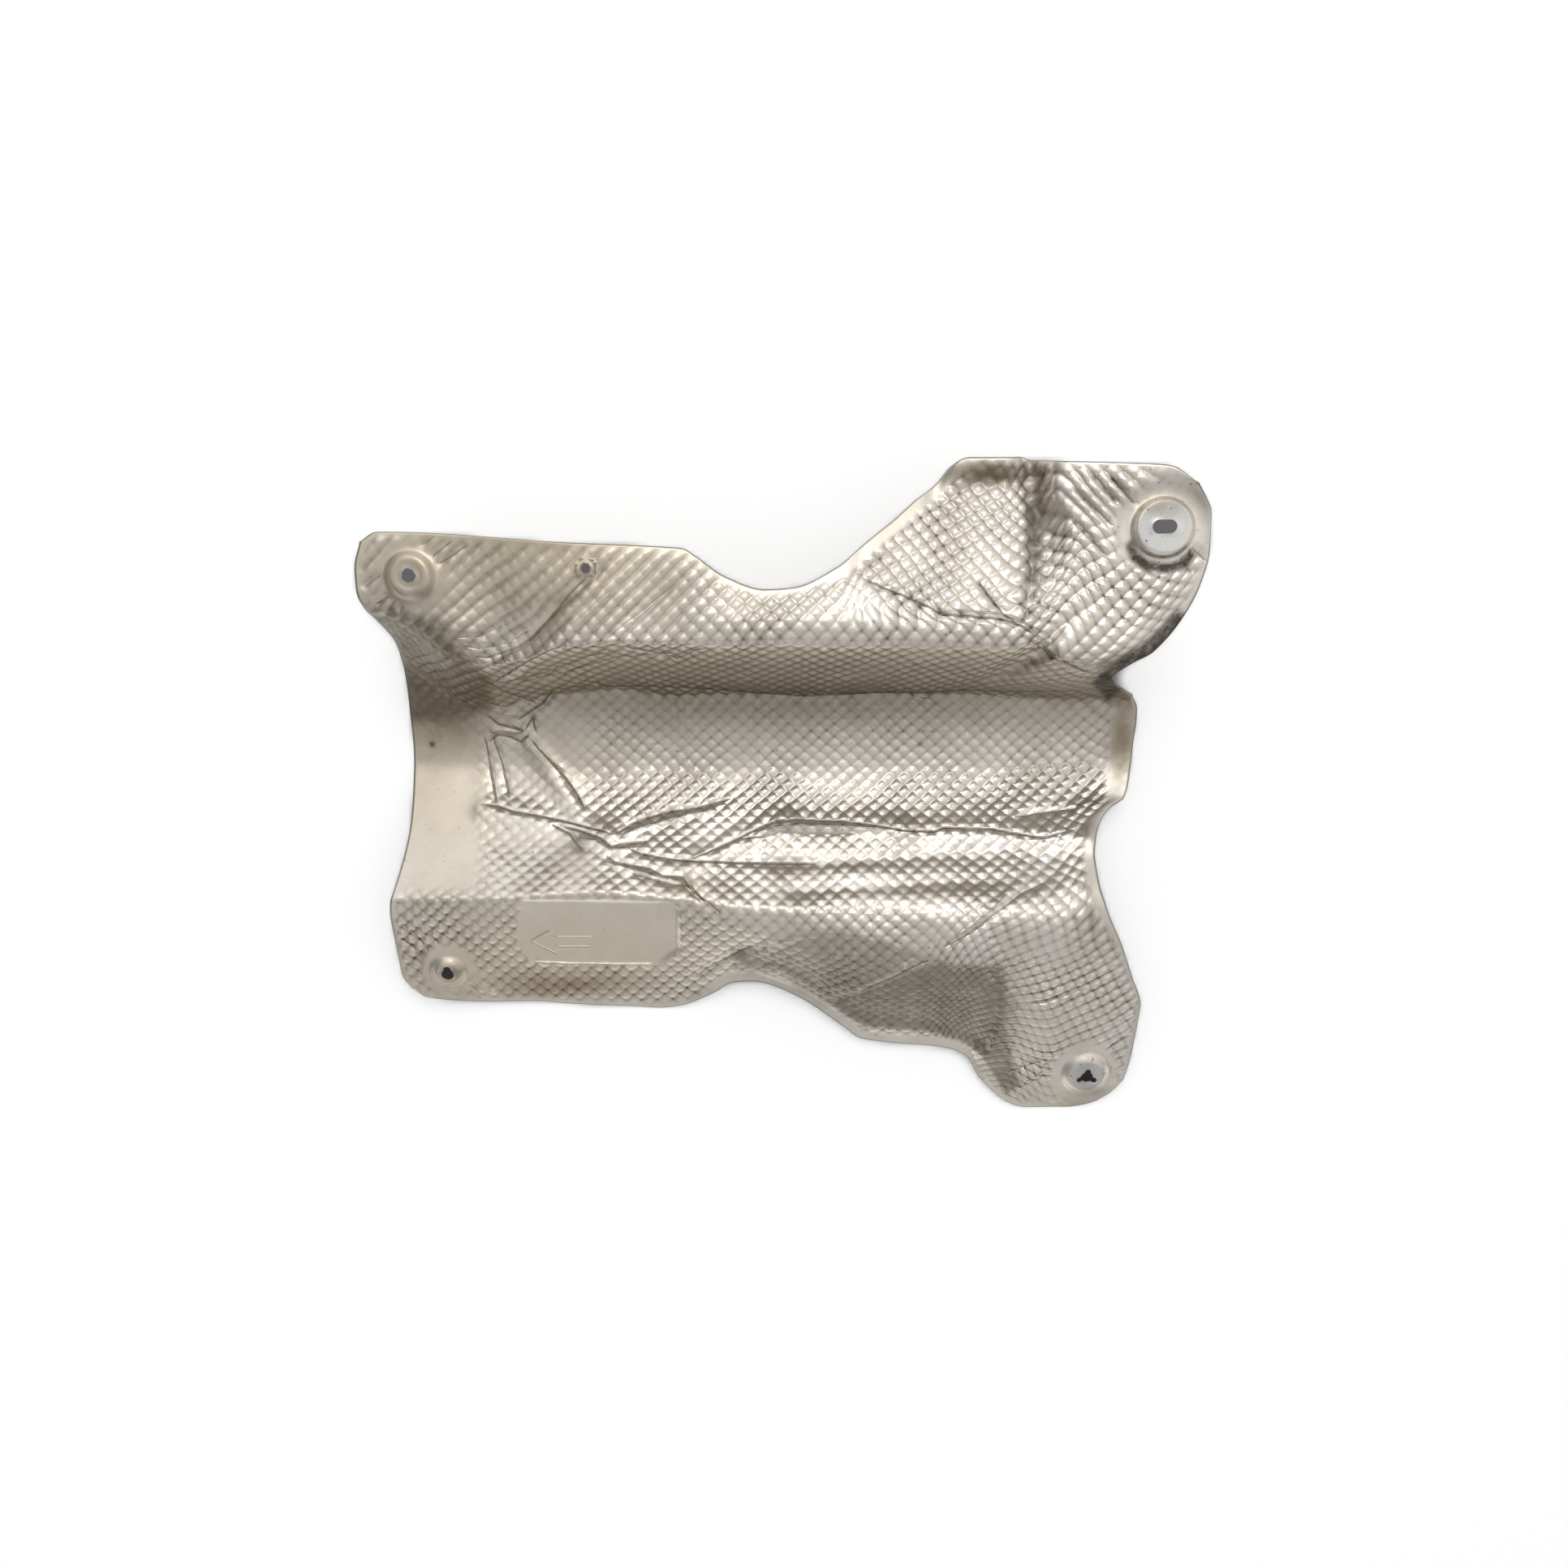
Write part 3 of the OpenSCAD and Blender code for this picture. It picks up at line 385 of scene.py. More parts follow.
# Creases in pixels of the photograph: path, half width at both ends and depth in millimetres
# (above 0 stands up), and how much of a sharp line runs along the middle
creases = [
    ([(652, 846), (680, 849), (720, 845), (733, 841), (745, 847), (840, 848), (900, 853), (990, 858),
      (1180, 853), (1300, 853), (1370, 850)], 1.5, 1.5, -0.5, 0.8),
    ([(700, 793), (672, 808), (640, 826), (606, 842)], 2.2, 1.4, -1.3, 0.6),
    ([(690, 800), (760, 796), (835, 812), (860, 800), (880, 797)], 1.3, 1.3, -0.4, 0.7),
    ([(605, 842), (660, 836), (720, 812), (770, 800)], 1.6, 2.2, -0.8, 0.5),
    ([(620, 848), (690, 832), (760, 810), (850, 806)], 1.6, 2.0, -0.6, 0.5),
    ([(606, 843), (628, 836), (650, 830)], 1.2, 1.2, 0.9, 0.6),
    ([(728, 705), (702, 730), (680, 757), (655, 783), (636, 795), (600, 810), (575, 812)],
     1.7, 1.8, -1.5, 0.7),
    ([(655, 775), (625, 792), (590, 800), (565, 796)], 1.8, 1.6, -0.8, 0.4),
    ([(620, 770), (590, 785), (560, 786)], 1.8, 1.6, -0.7, 0.3),
    ([(830, 720), (785, 757), (740, 790)], 2.2, 2.0, -0.9, 0.3),
    ([(770, 712), (735, 742), (700, 775)], 2.0, 2.0, -0.5, 0.2),
    ([(682, 850), (668, 868), (650, 880), (636, 889)], 1.5, 1.2, -1.8, 1.0),
    ([(590, 833), (605, 845), (625, 856), (645, 862), (664, 869)], 1.2, 1.2, -0.9, 0.9),
    ([(600, 868), (625, 872), (640, 865)], 1.5, 1.3, -0.6, 0.4),
    ([(606, 858), (622, 880), (640, 882)], 1.3, 1.3, 0.6, 0.4),
    ([(596, 880), (612, 893), (632, 897), (645, 901), (655, 886), (661, 906)], 1.2, 1.2, -0.9, 1.0),
    ([(602, 903), (614, 900), (632, 903), (642, 904), (652, 893)], 1.2, 1.2, 1.2, 0.8),
    ([(600, 916), (612, 906), (628, 909), (640, 915), (652, 904)], 1.2, 1.2, -1.0, 1.0),
    ([(650, 908), (665, 925), (682, 943), (697, 959), (712, 980), (721, 998)], 1.2, 1.0, -0.9, 1.0),
    ([(660, 918), (680, 938), (697, 953)], 1.2, 1.0, 0.9, 0.6),
    ([(595, 905), (600, 928), (605, 955), (612, 992)], 1.3, 1.2, -0.6, 0.7),
    ([(604, 905), (618, 942), (628, 985)], 1.3, 1.2, -0.6, 0.6),
    ([(590, 990), (612, 993), (632, 1000), (690, 1010), (740, 1023), (756, 1029)], 1.1, 1.1, -0.55, 1.0),
    ([(756, 1029), (780, 1014), (800, 1007), (828, 999), (860, 995), (905, 983)], 1.2, 1.3, -0.8, 1.0),
    ([(766, 1030), (790, 1020), (820, 1011), (850, 1003), (885, 998)], 1.2, 1.4, 0.8, 0.7),
    ([(688, 1017), (712, 1022), (740, 1033), (752, 1043), (768, 1040), (800, 1036)], 1.2, 1.1, -0.9, 1.0),
    ([(678, 1015), (700, 1026), (710, 1040), (720, 1050)], 1.3, 1.2, -0.9, 0.8),
    ([(706, 1034), (735, 1036), (752, 1047), (782, 1046)], 1.2, 1.2, 0.8, 0.7),
    ([(765, 1041), (790, 1052), (822, 1058), (850, 1060), (905, 1063), (1010, 1063)], 1.2, 1.4, -0.65, 1.0),
    ([(845, 1060), (870, 1050), (900, 1037), (925, 1025), (955, 1012), (982, 1009), (1040, 1011),
      (1080, 1017), (1112, 1023), (1152, 1024), (1162, 1019), (1222, 1021), (1285, 1032), (1330, 1020)],
     1.1, 1.1, -0.6, 1.0),
    ([(936, 1031), (955, 1020), (982, 1016), (1060, 1019), (1108, 1023)], 1.3, 1.2, 0.9, 0.8),
    ([(900, 1033), (940, 1031), (960, 1026), (1060, 1027)], 1.5, 1.4, -0.6, 0.5),
    ([(742, 1050), (757, 1062), (800, 1070), (815, 1078), (840, 1080), (852, 1096), (872, 1112), (895, 1135)],
     1.4, 1.6, -0.9, 0.8),
    ([(775, 1075), (800, 1082), (830, 1090), (850, 1090), (866, 1108), (885, 1128)], 1.4, 1.6, -0.9, 0.8),
    ([(742, 1062), (800, 1078), (838, 1086), (860, 1103), (880, 1120)], 1.2, 1.3, 0.7, 0.5),
    ([(900, 1065), (1060, 1062), (1150, 1052), (1285, 1042)], 2.2, 3.4, -0.5, 0.0),
    ([(950, 1100), (1060, 1095), (1150, 1090), (1265, 1084)], 2.6, 3.0, -0.45, 0.0),
    ([(1250, 1006), (1285, 1000), (1330, 995)], 1.4, 1.6, -0.8, 0.4),
    ([(1060, 710), (1085, 722), (1135, 742), (1163, 756), (1240, 762), (1262, 773), (1276, 783), (1282, 797)],
     1.2, 1.3, -1.1, 1.0),
    ([(1165, 750), (1240, 756), (1264, 768), (1280, 783), (1286, 795)], 1.0, 1.2, 0.7, 0.6),
    ([(1205, 715), (1220, 735), (1238, 757), (1254, 769)], 1.3, 1.3, -1.0, 0.8),
    ([(1286, 798), (1296, 793), (1306, 782), (1314, 772)], 1.2, 1.0, 1.0, 0.9),
    ([(1279, 790), (1281, 801), (1296, 813), (1322, 825), (1345, 832), (1372, 834)], 1.2, 1.6, -1.4, 1.0),
    ([(1275, 566), (1277, 640), (1273, 700), (1266, 770)], 4.6, 1.4, -2.6, 0.0),
    ([(648, 1185), (700, 1187), (760, 1188), (812, 1188)], 1.3, 1.3, 0.5, 1.0),
    ([(1060, 1222), (1100, 1206), (1150, 1181)], 1.6, 1.4, -0.7, 0.8),
    ([(1156, 1172), (1200, 1150), (1232, 1122), (1258, 1100), (1290, 1085)], 1.8, 1.6, -0.9, 0.5),
    ([(1170, 1160), (1205, 1135), (1240, 1105)], 1.6, 1.4, 0.7, 0.5),
    ([(857, 1206), (872, 1194), (905, 1178), (935, 1166)], 1.8, 1.6, -1.3, 0.7),
    ([(880, 1192), (930, 1187), (972, 1196), (1012, 1217), (1050, 1250)], 1.8, 1.8, -0.8, 0.3),
    ([(1245, 1243), (1290, 1236), (1340, 1218)], 1.4, 1.6, -0.7, 0.4),
    ([(1225, 1318), (1245, 1322), (1290, 1308)], 1.6, 1.6, -0.8, 0.4),
    ([(1230, 1332), (1256, 1342), (1286, 1328), (1304, 1325)], 1.6, 1.6, -1.0, 0.4),
    ([(1250, 1300), (1287, 1314), (1300, 1308)], 1.6, 1.6, -0.7, 0.4),
    ([(532, 699), (552, 686), (576, 670)], 1.6, 1.4, -1.2, 0.6),
    ([(528, 686), (545, 674), (556, 665)], 1.5, 1.3, -1.0, 0.5),
    ([(516, 672), (535, 660)], 1.5, 1.3, -0.8, 0.4),
    ([(460, 746), (471, 738), (483, 729)], 1.6, 1.4, -1.4, 0.6),
    ([(475, 755), (481, 745), (489, 734)], 1.5, 1.4, -1.4, 0.6),
    ([(491, 757), (493, 747), (497, 739)], 1.4, 1.3, -1.1, 0.5),
    ([(446, 724), (457, 715), (468, 707)], 1.4, 1.3, -0.7, 0.4),
    ([(1345, 580), (1362, 600), (1378, 622)], 1.5, 1.3, -1.0, 0.5),
    ([(1322, 600), (1350, 626), (1374, 650)], 1.5, 1.3, -1.0, 0.5),
    ([(1368, 584), (1385, 604), (1400, 621)], 1.4, 1.2, -1.1, 0.9),
    ([(1320, 640), (1345, 665), (1365, 685)], 1.5, 1.3, -0.7, 0.4),
    ([(1466, 672), (1478, 682), (1487, 692)], 1.5, 1.3, -1.1, 0.5),
    ([(1453, 686), (1463, 697), (1471, 707)], 1.5, 1.3, -1.0, 0.5),
    ([(491, 1138), (510, 1152), (527, 1174)], 1.5, 1.4, -1.0, 0.5),
    ([(490, 1156), (507, 1167), (521, 1186)], 1.5, 1.4, -0.9, 0.5),
    ([(508, 1132), (525, 1146), (540, 1166)], 1.4, 1.3, -0.7, 0.4),
    ([(576, 1205), (595, 1216), (615, 1224)], 1.4, 1.3, 1.0, 0.4),
    ([(576, 1213), (592, 1226), (607, 1232)], 1.5, 1.4, -1.1, 0.5),
    ([(1366, 1296), (1380, 1284), (1394, 1273)], 1.5, 1.4, -0.9, 0.5),
    ([(1372, 1304), (1384, 1296), (1396, 1290)], 1.4, 1.3, -0.7, 0.4),
]
creaseShare = 0.8  # of the depths above
creaseFade = 0.12  # share of a crease over which each end fades
lineReach = (1.2, 1.2)  # where a sharp line starts to fade beside its middle, and over how much
lineGroups = 4  # layers that hold the sharp lines, so that lines close together keep their own gaps
farGap = 9.0  # the gap in them where no line is near
farFromRim = 20.0  # what the patches round the holes get, which lie inside the sheet
smoothEnds = {  # parts without knobs at both ends in pixels: (place, fade) of an edge, or a bent edge
    "flareRight": (600, -24),
    "flareTop": (850, 60),
    "flareBottom": (1112, -30),
    "bandEdge": [(855, 1366), (990, 1356), (1010, 1332), (1060, 1329), (1110, 1341), (1160, 1365),
                 (1200, 1400)],
    "bandFade": (0, 10),
    "bandTop": (855, 20),
}
field = {  # flat field on the lower left flange, corners in pixels, and the arrow pressed into it
    "corners": [(641, 1108), (826, 1110), (837, 1120), (838, 1172), (812, 1189), (652, 1186), (636, 1158)],
    "bevel": 1.5,
    "margin": 1.0,  # smooth band beside it
    "depth": 0.9,
    "arrow": [[(654, 1161), (679, 1147)], [(655, 1162), (685, 1177)], [(683, 1156), (728, 1156)],
              [(684, 1168), (728, 1168)]],
    "arrowWidth": 1.6,  # half of it
    "arrowFade": 0.04,
    "raise": 0.15,
}
pockets = [  # steep parts above the bottom edge, corners in pixels
    {
        "corners": [(1022, 1232), (1062, 1221), (1156, 1182), (1172, 1190), (1228, 1192), (1241, 1210),
                    (1237, 1262), (1216, 1302), (1190, 1287), (1150, 1274), (1066, 1266), (1042, 1252)],
        "bevel": 3.4,
        "depth": 2.3,
    },
    {
        "corners": [(905, 1172), (960, 1162), (1000, 1151), (1040, 1151), (1100, 1167), (1140, 1182),
                    (1064, 1212), (1010, 1222), (960, 1196), (912, 1192)],
        "bevel": 2.6,
        "depth": 1.1,
    },
]


def inside(x, y, corners):  # distance into a polygon, below 0 outside it
    hit = np.zeros(x.shape, bool)
    for (ax, ay), (bx, by) in zip(corners, corners[1:] + corners[:1]):
        crossing = (ay > y) != (by > y)
        slope = (bx - ax) / (by - ay) if by != ay else 0
        hit ^= crossing & (x < ax + (y - ay) * slope)
    gap = toPath(x, y, corners + corners[:1])[0]
    return np.where(hit, gap, -gap)


layers = ["fromRim", "embossed", "rowA", "rowB", "lean"]  # what the sheet's materials read
layers += [f"line{kind}{k}" for k in range(lineGroups) for kind in ("Gap", "Depth")]


def window(x, y, area):  # 1 inside a rectangle of the photograph, fading to 0 outside it
    left, right, top, bottom = area["window"]
    soft = area["fade"]
    inX = ease((x - left + soft) / soft) * ease((right + soft - x) / soft)
    return inX * ease((y - top + soft) / soft) * ease((bottom + soft - y) / soft)


def relief(p, s, v, flat, fromRim):  # height of the fine form, and the layers after the first
    pixelX, pixelY = seenAt(p)
    pixel = camera["floorPixel"]
    flare = risen(pixelX, smoothEnds["flareRight"]) * risen(pixelY, smoothEnds["flareTop"])
    flare *= risen(pixelY, smoothEnds["flareBottom"])
    pastBand = pixelX - np.interp(pixelY, *np.transpose(smoothEnds["bandEdge"]))
    band = risen(pastBand, smoothEnds["bandFade"]) * risen(pixelY, smoothEnds["bandTop"])
    level = inside(pixelX, pixelY, field["corners"]) * pixel
    smooth = np.maximum.reduce([flat, flare, band, ease((level + field["margin"]) / field["bevel"])])
    for rim in embossing["smoothRims"]:
        bare = ease((rim["width"] - fromRim) / embossing["rimFade"] + 0.5)
        smooth = np.maximum(smooth, window(pixelX, pixelY, rim) * bare)
    wave, driftS, driftV = np.zeros(s.shape), np.zeros(s.shape), np.zeros(s.shape)
    rng = np.random.default_rng(embossing["seed"])
    for k in range(embossing["waves"]):
        turn, length = rng.uniform(0, math.tau), rng.uniform(*embossing["waveLengths"])
        phase = (s * math.cos(turn) + v * math.sin(turn)) * math.tau / length
        deep = embossing["waveHeight"] * length ** embossing["waveGrowth"]
        wave += deep * np.cos(phase + rng.uniform(0, math.tau))
        driftS += embossing["driftShare"] * np.cos(phase + rng.uniform(0, math.tau))
        driftV += embossing["driftShare"] * np.cos(phase + rng.uniform(0, math.tau))
    start, closer = embossing["squeezeBelow"], embossing["pocketRows"]
    across = np.where(v < start, start + (v - start) * embossing["squeeze"], v)
    below = np.maximum(pixelY - closer["from"], 0) * pixel
    across -= window(pixelX, pixelY, closer) * closer["stretch"] * below
    x = p[..., 0] + sheet["origin"][0]
    for turned in embossing["turned"]:
        angle = math.radians(turned["angle"]) * window(pixelX, pixelY, turned)
        dx, dv = x - turned["about"][0], across - turned["about"][1]
        x = turned["about"][0] + dx * np.cos(angle) - dv * np.sin(angle)
        across = turned["about"][1] + dx * np.sin(angle) + dv * np.cos(angle)
    turnS = math.tau * (x + embossing["drift"] * driftS) / embossing["period"]
    turnV = math.tau * (across + embossing["drift"] * driftV) / embossing["period"]
    rows, lean = (turnS + turnV, turnS - turnV), np.zeros(s.shape)
    for value, beside, down in embossing["leaning"]:
        lean = mix(lean, value, risen(pixelX, beside) * risen(pixelY, down))
    knobs = np.ones(s.shape)
    for row, way in zip(rows, (1, -1)):
        groove = ((1 - np.cos(row)) / 2) ** embossing["sharpness"]
        knobs *= 1 - groove * (1 - embossing["lean"] * np.maximum(way * lean, 0))
    limit = embossing["unevenLimit"]
    present = (1 - smooth) * (1 + embossing["unevenness"] * np.clip(driftS, -limit, limit))
    for faint in embossing["faint"]:
        present *= 1 - faint["share"] * window(pixelX, pixelY, faint)
    lift = wave * (1 - smooth) + embossing["height"] * (knobs - embossing["sunk"]) * present
    lift -= field["depth"] * ease(level / field["bevel"])
    for pocket in pockets:
        lift -= pocket["depth"] * ease(inside(pixelX, pixelY, pocket["corners"]) * pixel / pocket["bevel"])
    lines = [(path, first, last, depth * creaseShare, sharp, creaseFade)
             for path, first, last, depth, sharp in creases]
    width = field["arrowWidth"]
    lines += [(path, width, width, field["raise"], 1.0, field["arrowFade"]) for path in field["arrow"]]
    groups = [{"paths": [], "gap": np.full(s.shape, farGap), "depth": np.zeros(s.shape)}
              for k in range(lineGroups)]
    for path, first, last, depth, sharp, fade in lines:
        gap, share, side = toPath(pixelX * pixel, pixelY * pixel, np.array(path) * pixel)
        taper = ease(share / fade) * ease((1 - share) / fade)
        lift += depth * taper * np.exp(-(gap / mix(first, last, share)) ** 2)
        if sharp:  # it goes into the group whose lines are farthest from it
            ends = np.array(path, float)
            clear = [min([np.hypot(*(ends[:, None] - other[None]).reshape(-1, 2).T).min()
                          for other in one["paths"]] or [999]) for one in groups]
            one = groups[int(np.argmax(clear))]
            one["paths"].append(ends)
            near = gap < np.abs(one["gap"])
            shown = sharp * np.sign(depth) * taper * (1 - risen(gap, lineReach))
            one["gap"] = np.where(near, gap * side, one["gap"])
            one["depth"] = np.where(near, shown, one["depth"])
    marks = [present, *rows, lean] + [one[k] for one in groups for k in ("gap", "depth")]
    return lift, np.column_stack(marks)


def sheetGrid(cells):  # a regular net over the sheet that meets its edges exactly
    step = embossing["period"] / cells
    count = round(2 * sheet["reach"] / step)
    stations = np.linspace(-sheet["reach"], sheet["reach"], count + 1)
    sections = [crossSection(s) for s in stations]
    clear = sheet["clearRow"]
    first = np.array([math.ceil(c[2] / step + clear) - 1 for c in sections])
    last = np.array([math.floor(c[3] / step - clear) + 1 for c in sections])
    rows = np.arange(first.min(), last.max() + 1)
    low, high, columns = first - rows[0], last - rows[0], np.arange(count + 1)
    regular = np.repeat(rows[None, :] * step, count + 1, axis=0).astype(float)
    s = np.repeat(stations[:, None], len(rows), axis=1)

    def place(v):
        y = np.array([np.interp(v[i], c[0], c[1][:, 0]) for i, c in enumerate(sections)])
        z = np.array([np.interp(v[i], c[0], c[1][:, 1]) for i, c in enumerate(sections)])
        p = np.stack((along(s, y), y, z), axis=-1) - sheet["origin"]
        lift, flat = padLift(p)
        p[..., 2] += lift
        p[..., 2] += wrinkleLift(p) * (1 - flat)
        return p, flat

    even = place(regular)[0]
    normal = np.cross(np.gradient(even, axis=0), np.gradient(even, axis=1))
    normal /= np.maximum(np.linalg.norm(normal, axis=-1, keepdims=True), 1e-9)
    v = regular.copy()
    v[columns, low] = [c[2] for c in sections]
    v[columns, high] = [c[3] for c in sections]
    p, flat = place(v)
    row = np.arange(len(rows))[None, :]
    used = (row >= low[:, None]) & (row <= high[:, None])
    starts = np.concatenate(([0], np.cumsum(high - low + 1)))[:-1]
    ids = starts[:, None] + np.clip(row, low[:, None], high[:, None]) - low[:, None]
    edges = {
        "low": ids[columns, low],
        "right": ids[-1, low[-1]:high[-1] + 1],
        "top": ids[columns, high][::-1],
        "left": ids[0, low[0]:high[0] + 1][::-1],
    }
    return p[used], normal[used], s[used], v[used], flat[used], quadsOf(ids), edges


def holeEdge(name, turn):  # distance of the hole's edge from its middle in each direction
    c, n = np.cos(turn), np.sin(turn)

    def withCircle(reach, x, y, r):  # the outline grown by a circle off the middle
        dot = x * c + y * n
        root = r * r - x * x - y * y + dot * dot
        return np.maximum(reach, np.where(root > 0, dot + np.sqrt(np.maximum(root, 0)), 0))

    if name == "upper_right_slot":
        r = holes["slotWidth"] / 2
        half = holes["slotLength"] / 2 - r
        sides = r / np.maximum(np.abs(n), 1e-6)
        ends = half * np.abs(c) + np.sqrt(np.maximum(r * r - (half * n) ** 2, 0))
        return np.where(sides * np.abs(c) <= half, sides, ends)
    if name == "lower_left_hole":
        r = np.full(turn.shape, holes["bolt"])
        return withCircle(r, 0, holes["bolt"] - holes["tear"] + holes["tearReach"], holes["tear"])
    if name == "lower_right_hole":
        r = np.full(turn.shape, holes["worn"] / 2)
        for x, y in holes["wornCorners"]:
            r = withCircle(r, x * holes["worn"], y * holes["worn"], holes["worn"] / 4)
        return r
    if name == "pierced_hole":
        return np.full(turn.shape, holes["pierced"])
    r = np.full(turn.shape, holes["bolt"])
    for high, count, start in holes["unround"]:
        r += high * np.cos(count * turn + start)
    return r


def bossPatch(name):  # rings from the hole's edge out to the pad, with their normals
    boss = bosses[name]
    middle, side, up, axis = bossFrame(name)
    turn = np.linspace(0, math.tau, holes["spokes"], endpoint=False)
    hole, seat = holeEdge(name, turn), np.full(turn.shape, boss["seat"])
    over, down = (holes["seatRings"], holes["wallRings"]) if boss["height"] else holes["flatRings"]
    rings = np.array([mix(hole, seat, f) for f in over] + [seat + boss["wall"] * f for f in down])

    def height(r):
        rise = boss["height"] * (1 - ease((r - boss["seat"]) / boss["wall"]))
        burr = np.exp(-((r - hole - holes["burrPlace"]) / holes["burrWidth"]) ** 2)
        burr *= 1 + np.cos(turn * 2 + holes["burrTurn"])
        burr *= holes["burr"] * (r < seat)
        sunk = holes["ringDepth"] * ease(boss["ring"] - r) if boss["ring"] else 0
        return rise + burr - sunk

    outward = np.cos(turn)[:, None] * side + np.sin(turn)[:, None] * up
    p = middle + rings[..., None] * outward + height(rings)[..., None] * axis
    step = holes["slopeStep"]
    slope = (height(rings + step) - height(rings - step)) / (2 * step)
    normal = axis - slope[..., None] * outward
    return p, normal / np.linalg.norm(normal, axis=-1, keepdims=True), turn


def openRings(nets, points):  # every closed loop of the net's open edges, with its middle
    sides = np.concatenate([net[:, [k, (k + 1) % net.shape[1]]] for net in nets
                            for k in range(net.shape[1])])
    code = sides[:, 0].astype(np.int64) * len(points) + sides[:, 1]
    back = sides[:, 1].astype(np.int64) * len(points) + sides[:, 0]
    nextOf = dict(sides[~np.isin(code, back)].tolist())
    rings = []
    while nextOf:
        ring = [next(iter(nextOf))]
        while ring[-1] in nextOf:
            ring.append(nextOf.pop(ring[-1]))
        ring = np.array(ring[:0:-1])
        rings.append((points[ring].mean(axis=0), ring))
    return rings


def zipRows(a, b, runA, runB):  # triangles between two rows that start and end together
    i, j, faces = 0, 0, []
    while i < len(a) - 1 or j < len(b) - 1:
        if j == len(b) - 1 or (i < len(a) - 1 and runA[i + 1] <= runB[j + 1]):
            faces.append((a[i], b[j], a[i + 1]))
            i += 1
        else:
            faces.append((a[i], b[j], b[j + 1]))
            j += 1
    return faces


def zipRings(outer, outerTurn, inner, innerTurn):  # triangles between two closed rings
    shift = int(np.argmin(np.abs((innerTurn - outerTurn[0] + math.pi) % math.tau - math.pi)))
    inner, b = np.roll(inner, -shift), np.roll(innerTurn, -shift)
    b = b[0] + np.concatenate(([0], np.cumsum(np.diff(b) % math.tau)))
    b += round((outerTurn[0] - b[0]) / math.tau) * math.tau
    a, b = np.append(outerTurn, outerTurn[0] + math.tau), np.append(b, b[0] + math.tau)
    return zipRows(np.append(inner, inner[0]), np.append(outer, outer[0]), b, a)


def zipEdges(a, b, points):  # triangles between the same edge of both sides
    runs = []
    for row in (a, b):
        run = np.concatenate(([0], np.cumsum(np.linalg.norm(np.diff(points[row], axis=0), axis=1))))
        runs.append(run / run[-1])
    return zipRows(a, b, *runs)


def oneSide(cells, depth, first):  # points, faces, values, edge rows and hole rings of one side
    p, normal, s, v, flat, quads, edges = sheetGrid(cells)
    rimPoints = p[np.unique(np.concatenate(list(edges.values())))]
    tree = kdtree.KDTree(len(rimPoints))
    for k, point in enumerate(rimPoints):
        tree.insert(point, k)
    tree.balance()
    fromRim = np.array([tree.find(point)[2] for point in p])
    lift, marks = relief(p, s, v, flat, fromRim)
    band = risen(fromRim, embossing["edgeBand"])
    marks[:, 0] *= band
    base = p
    p = p + normal * (lift * band - depth)[:, None]
    keep = np.ones(len(p), bool)  # the net ends a little outside each hole's patch
    step = embossing["period"] / cells
    wallShare, cellShare = holes["clearance"]
    for name, boss in bosses.items():
        middle, side, up, axis = bossFrame(name)
        d = base - middle
        keep &= np.hypot(d @ side, d @ up) > boss["seat"] + boss["wall"] * wallShare + cellShare * step
    quads = quads[keep[quads].all(axis=1)]
    closedA, closedB = quads[:, 0] == quads[:, 3], quads[:, 1] == quads[:, 2]
    nets = (quads[~closedA & ~closedB], quads[closedA & ~closedB][:, :3],
            quads[closedB & ~closedA][:, [0, 1, 3]])
    faces = [tuple(face) for net in nets for face in net.tolist()]
    kinds = [0] * len(faces)  # 0 for the sheet, 1 for a bolt's seat, 2 for a cut edge
    points, values, rings = [p], [np.column_stack((s, v, fromRim, marks))], {}
    total = len(p)
    gaps = openRings(nets, base)
    for name, boss in bosses.items():
        middle, side, up, axis = bossFrame(name)
        ring = min(gaps, key=lambda one: np.linalg.norm(one[0] - middle))[1]
        d = base[ring] - middle
        ringTurn = np.unwrap(np.arctan2(d @ up, d @ side))
        patch, patchNormal, turn = bossPatch(name)
        index = total + np.arange(patch.shape[0] * patch.shape[1]).reshape(patch.shape[:2])
        cellsHere = quadsOf(np.hstack((index, index[:, :1])))
        joined = zipRings(ring, np.maximum.accumulate(ringTurn), index[-1], turn)
        faces += [tuple(q) for q in cellsHere.tolist()] + joined
        bare = len(turn) * (len(patch) - len(holes["wallRings"])) if boss["height"] else 0
        kinds += [1] * bare + [0] * (len(cellsHere) - bare + len(joined))
        points.append((patch - patchNormal * depth).reshape(-1, 3))
        local = patch.reshape(-1, 3)
        filler = np.tile([0, 0, farFromRim] + [0] * 4 + [farGap, 0] * lineGroups, (len(local), 1))
        filler[:, :2] = local[:, :2]
        values.append(filler)
        rings[name] = index[0] + first
        total += len(local)
    faces = [tuple(int(k) + first for k in face) for face in faces]
    if depth:
        faces = [face[::-1] for face in faces]
    edges = {name: row + first for name, row in edges.items()}
    return np.concatenate(points), faces, kinds, np.concatenate(values), edges, rings


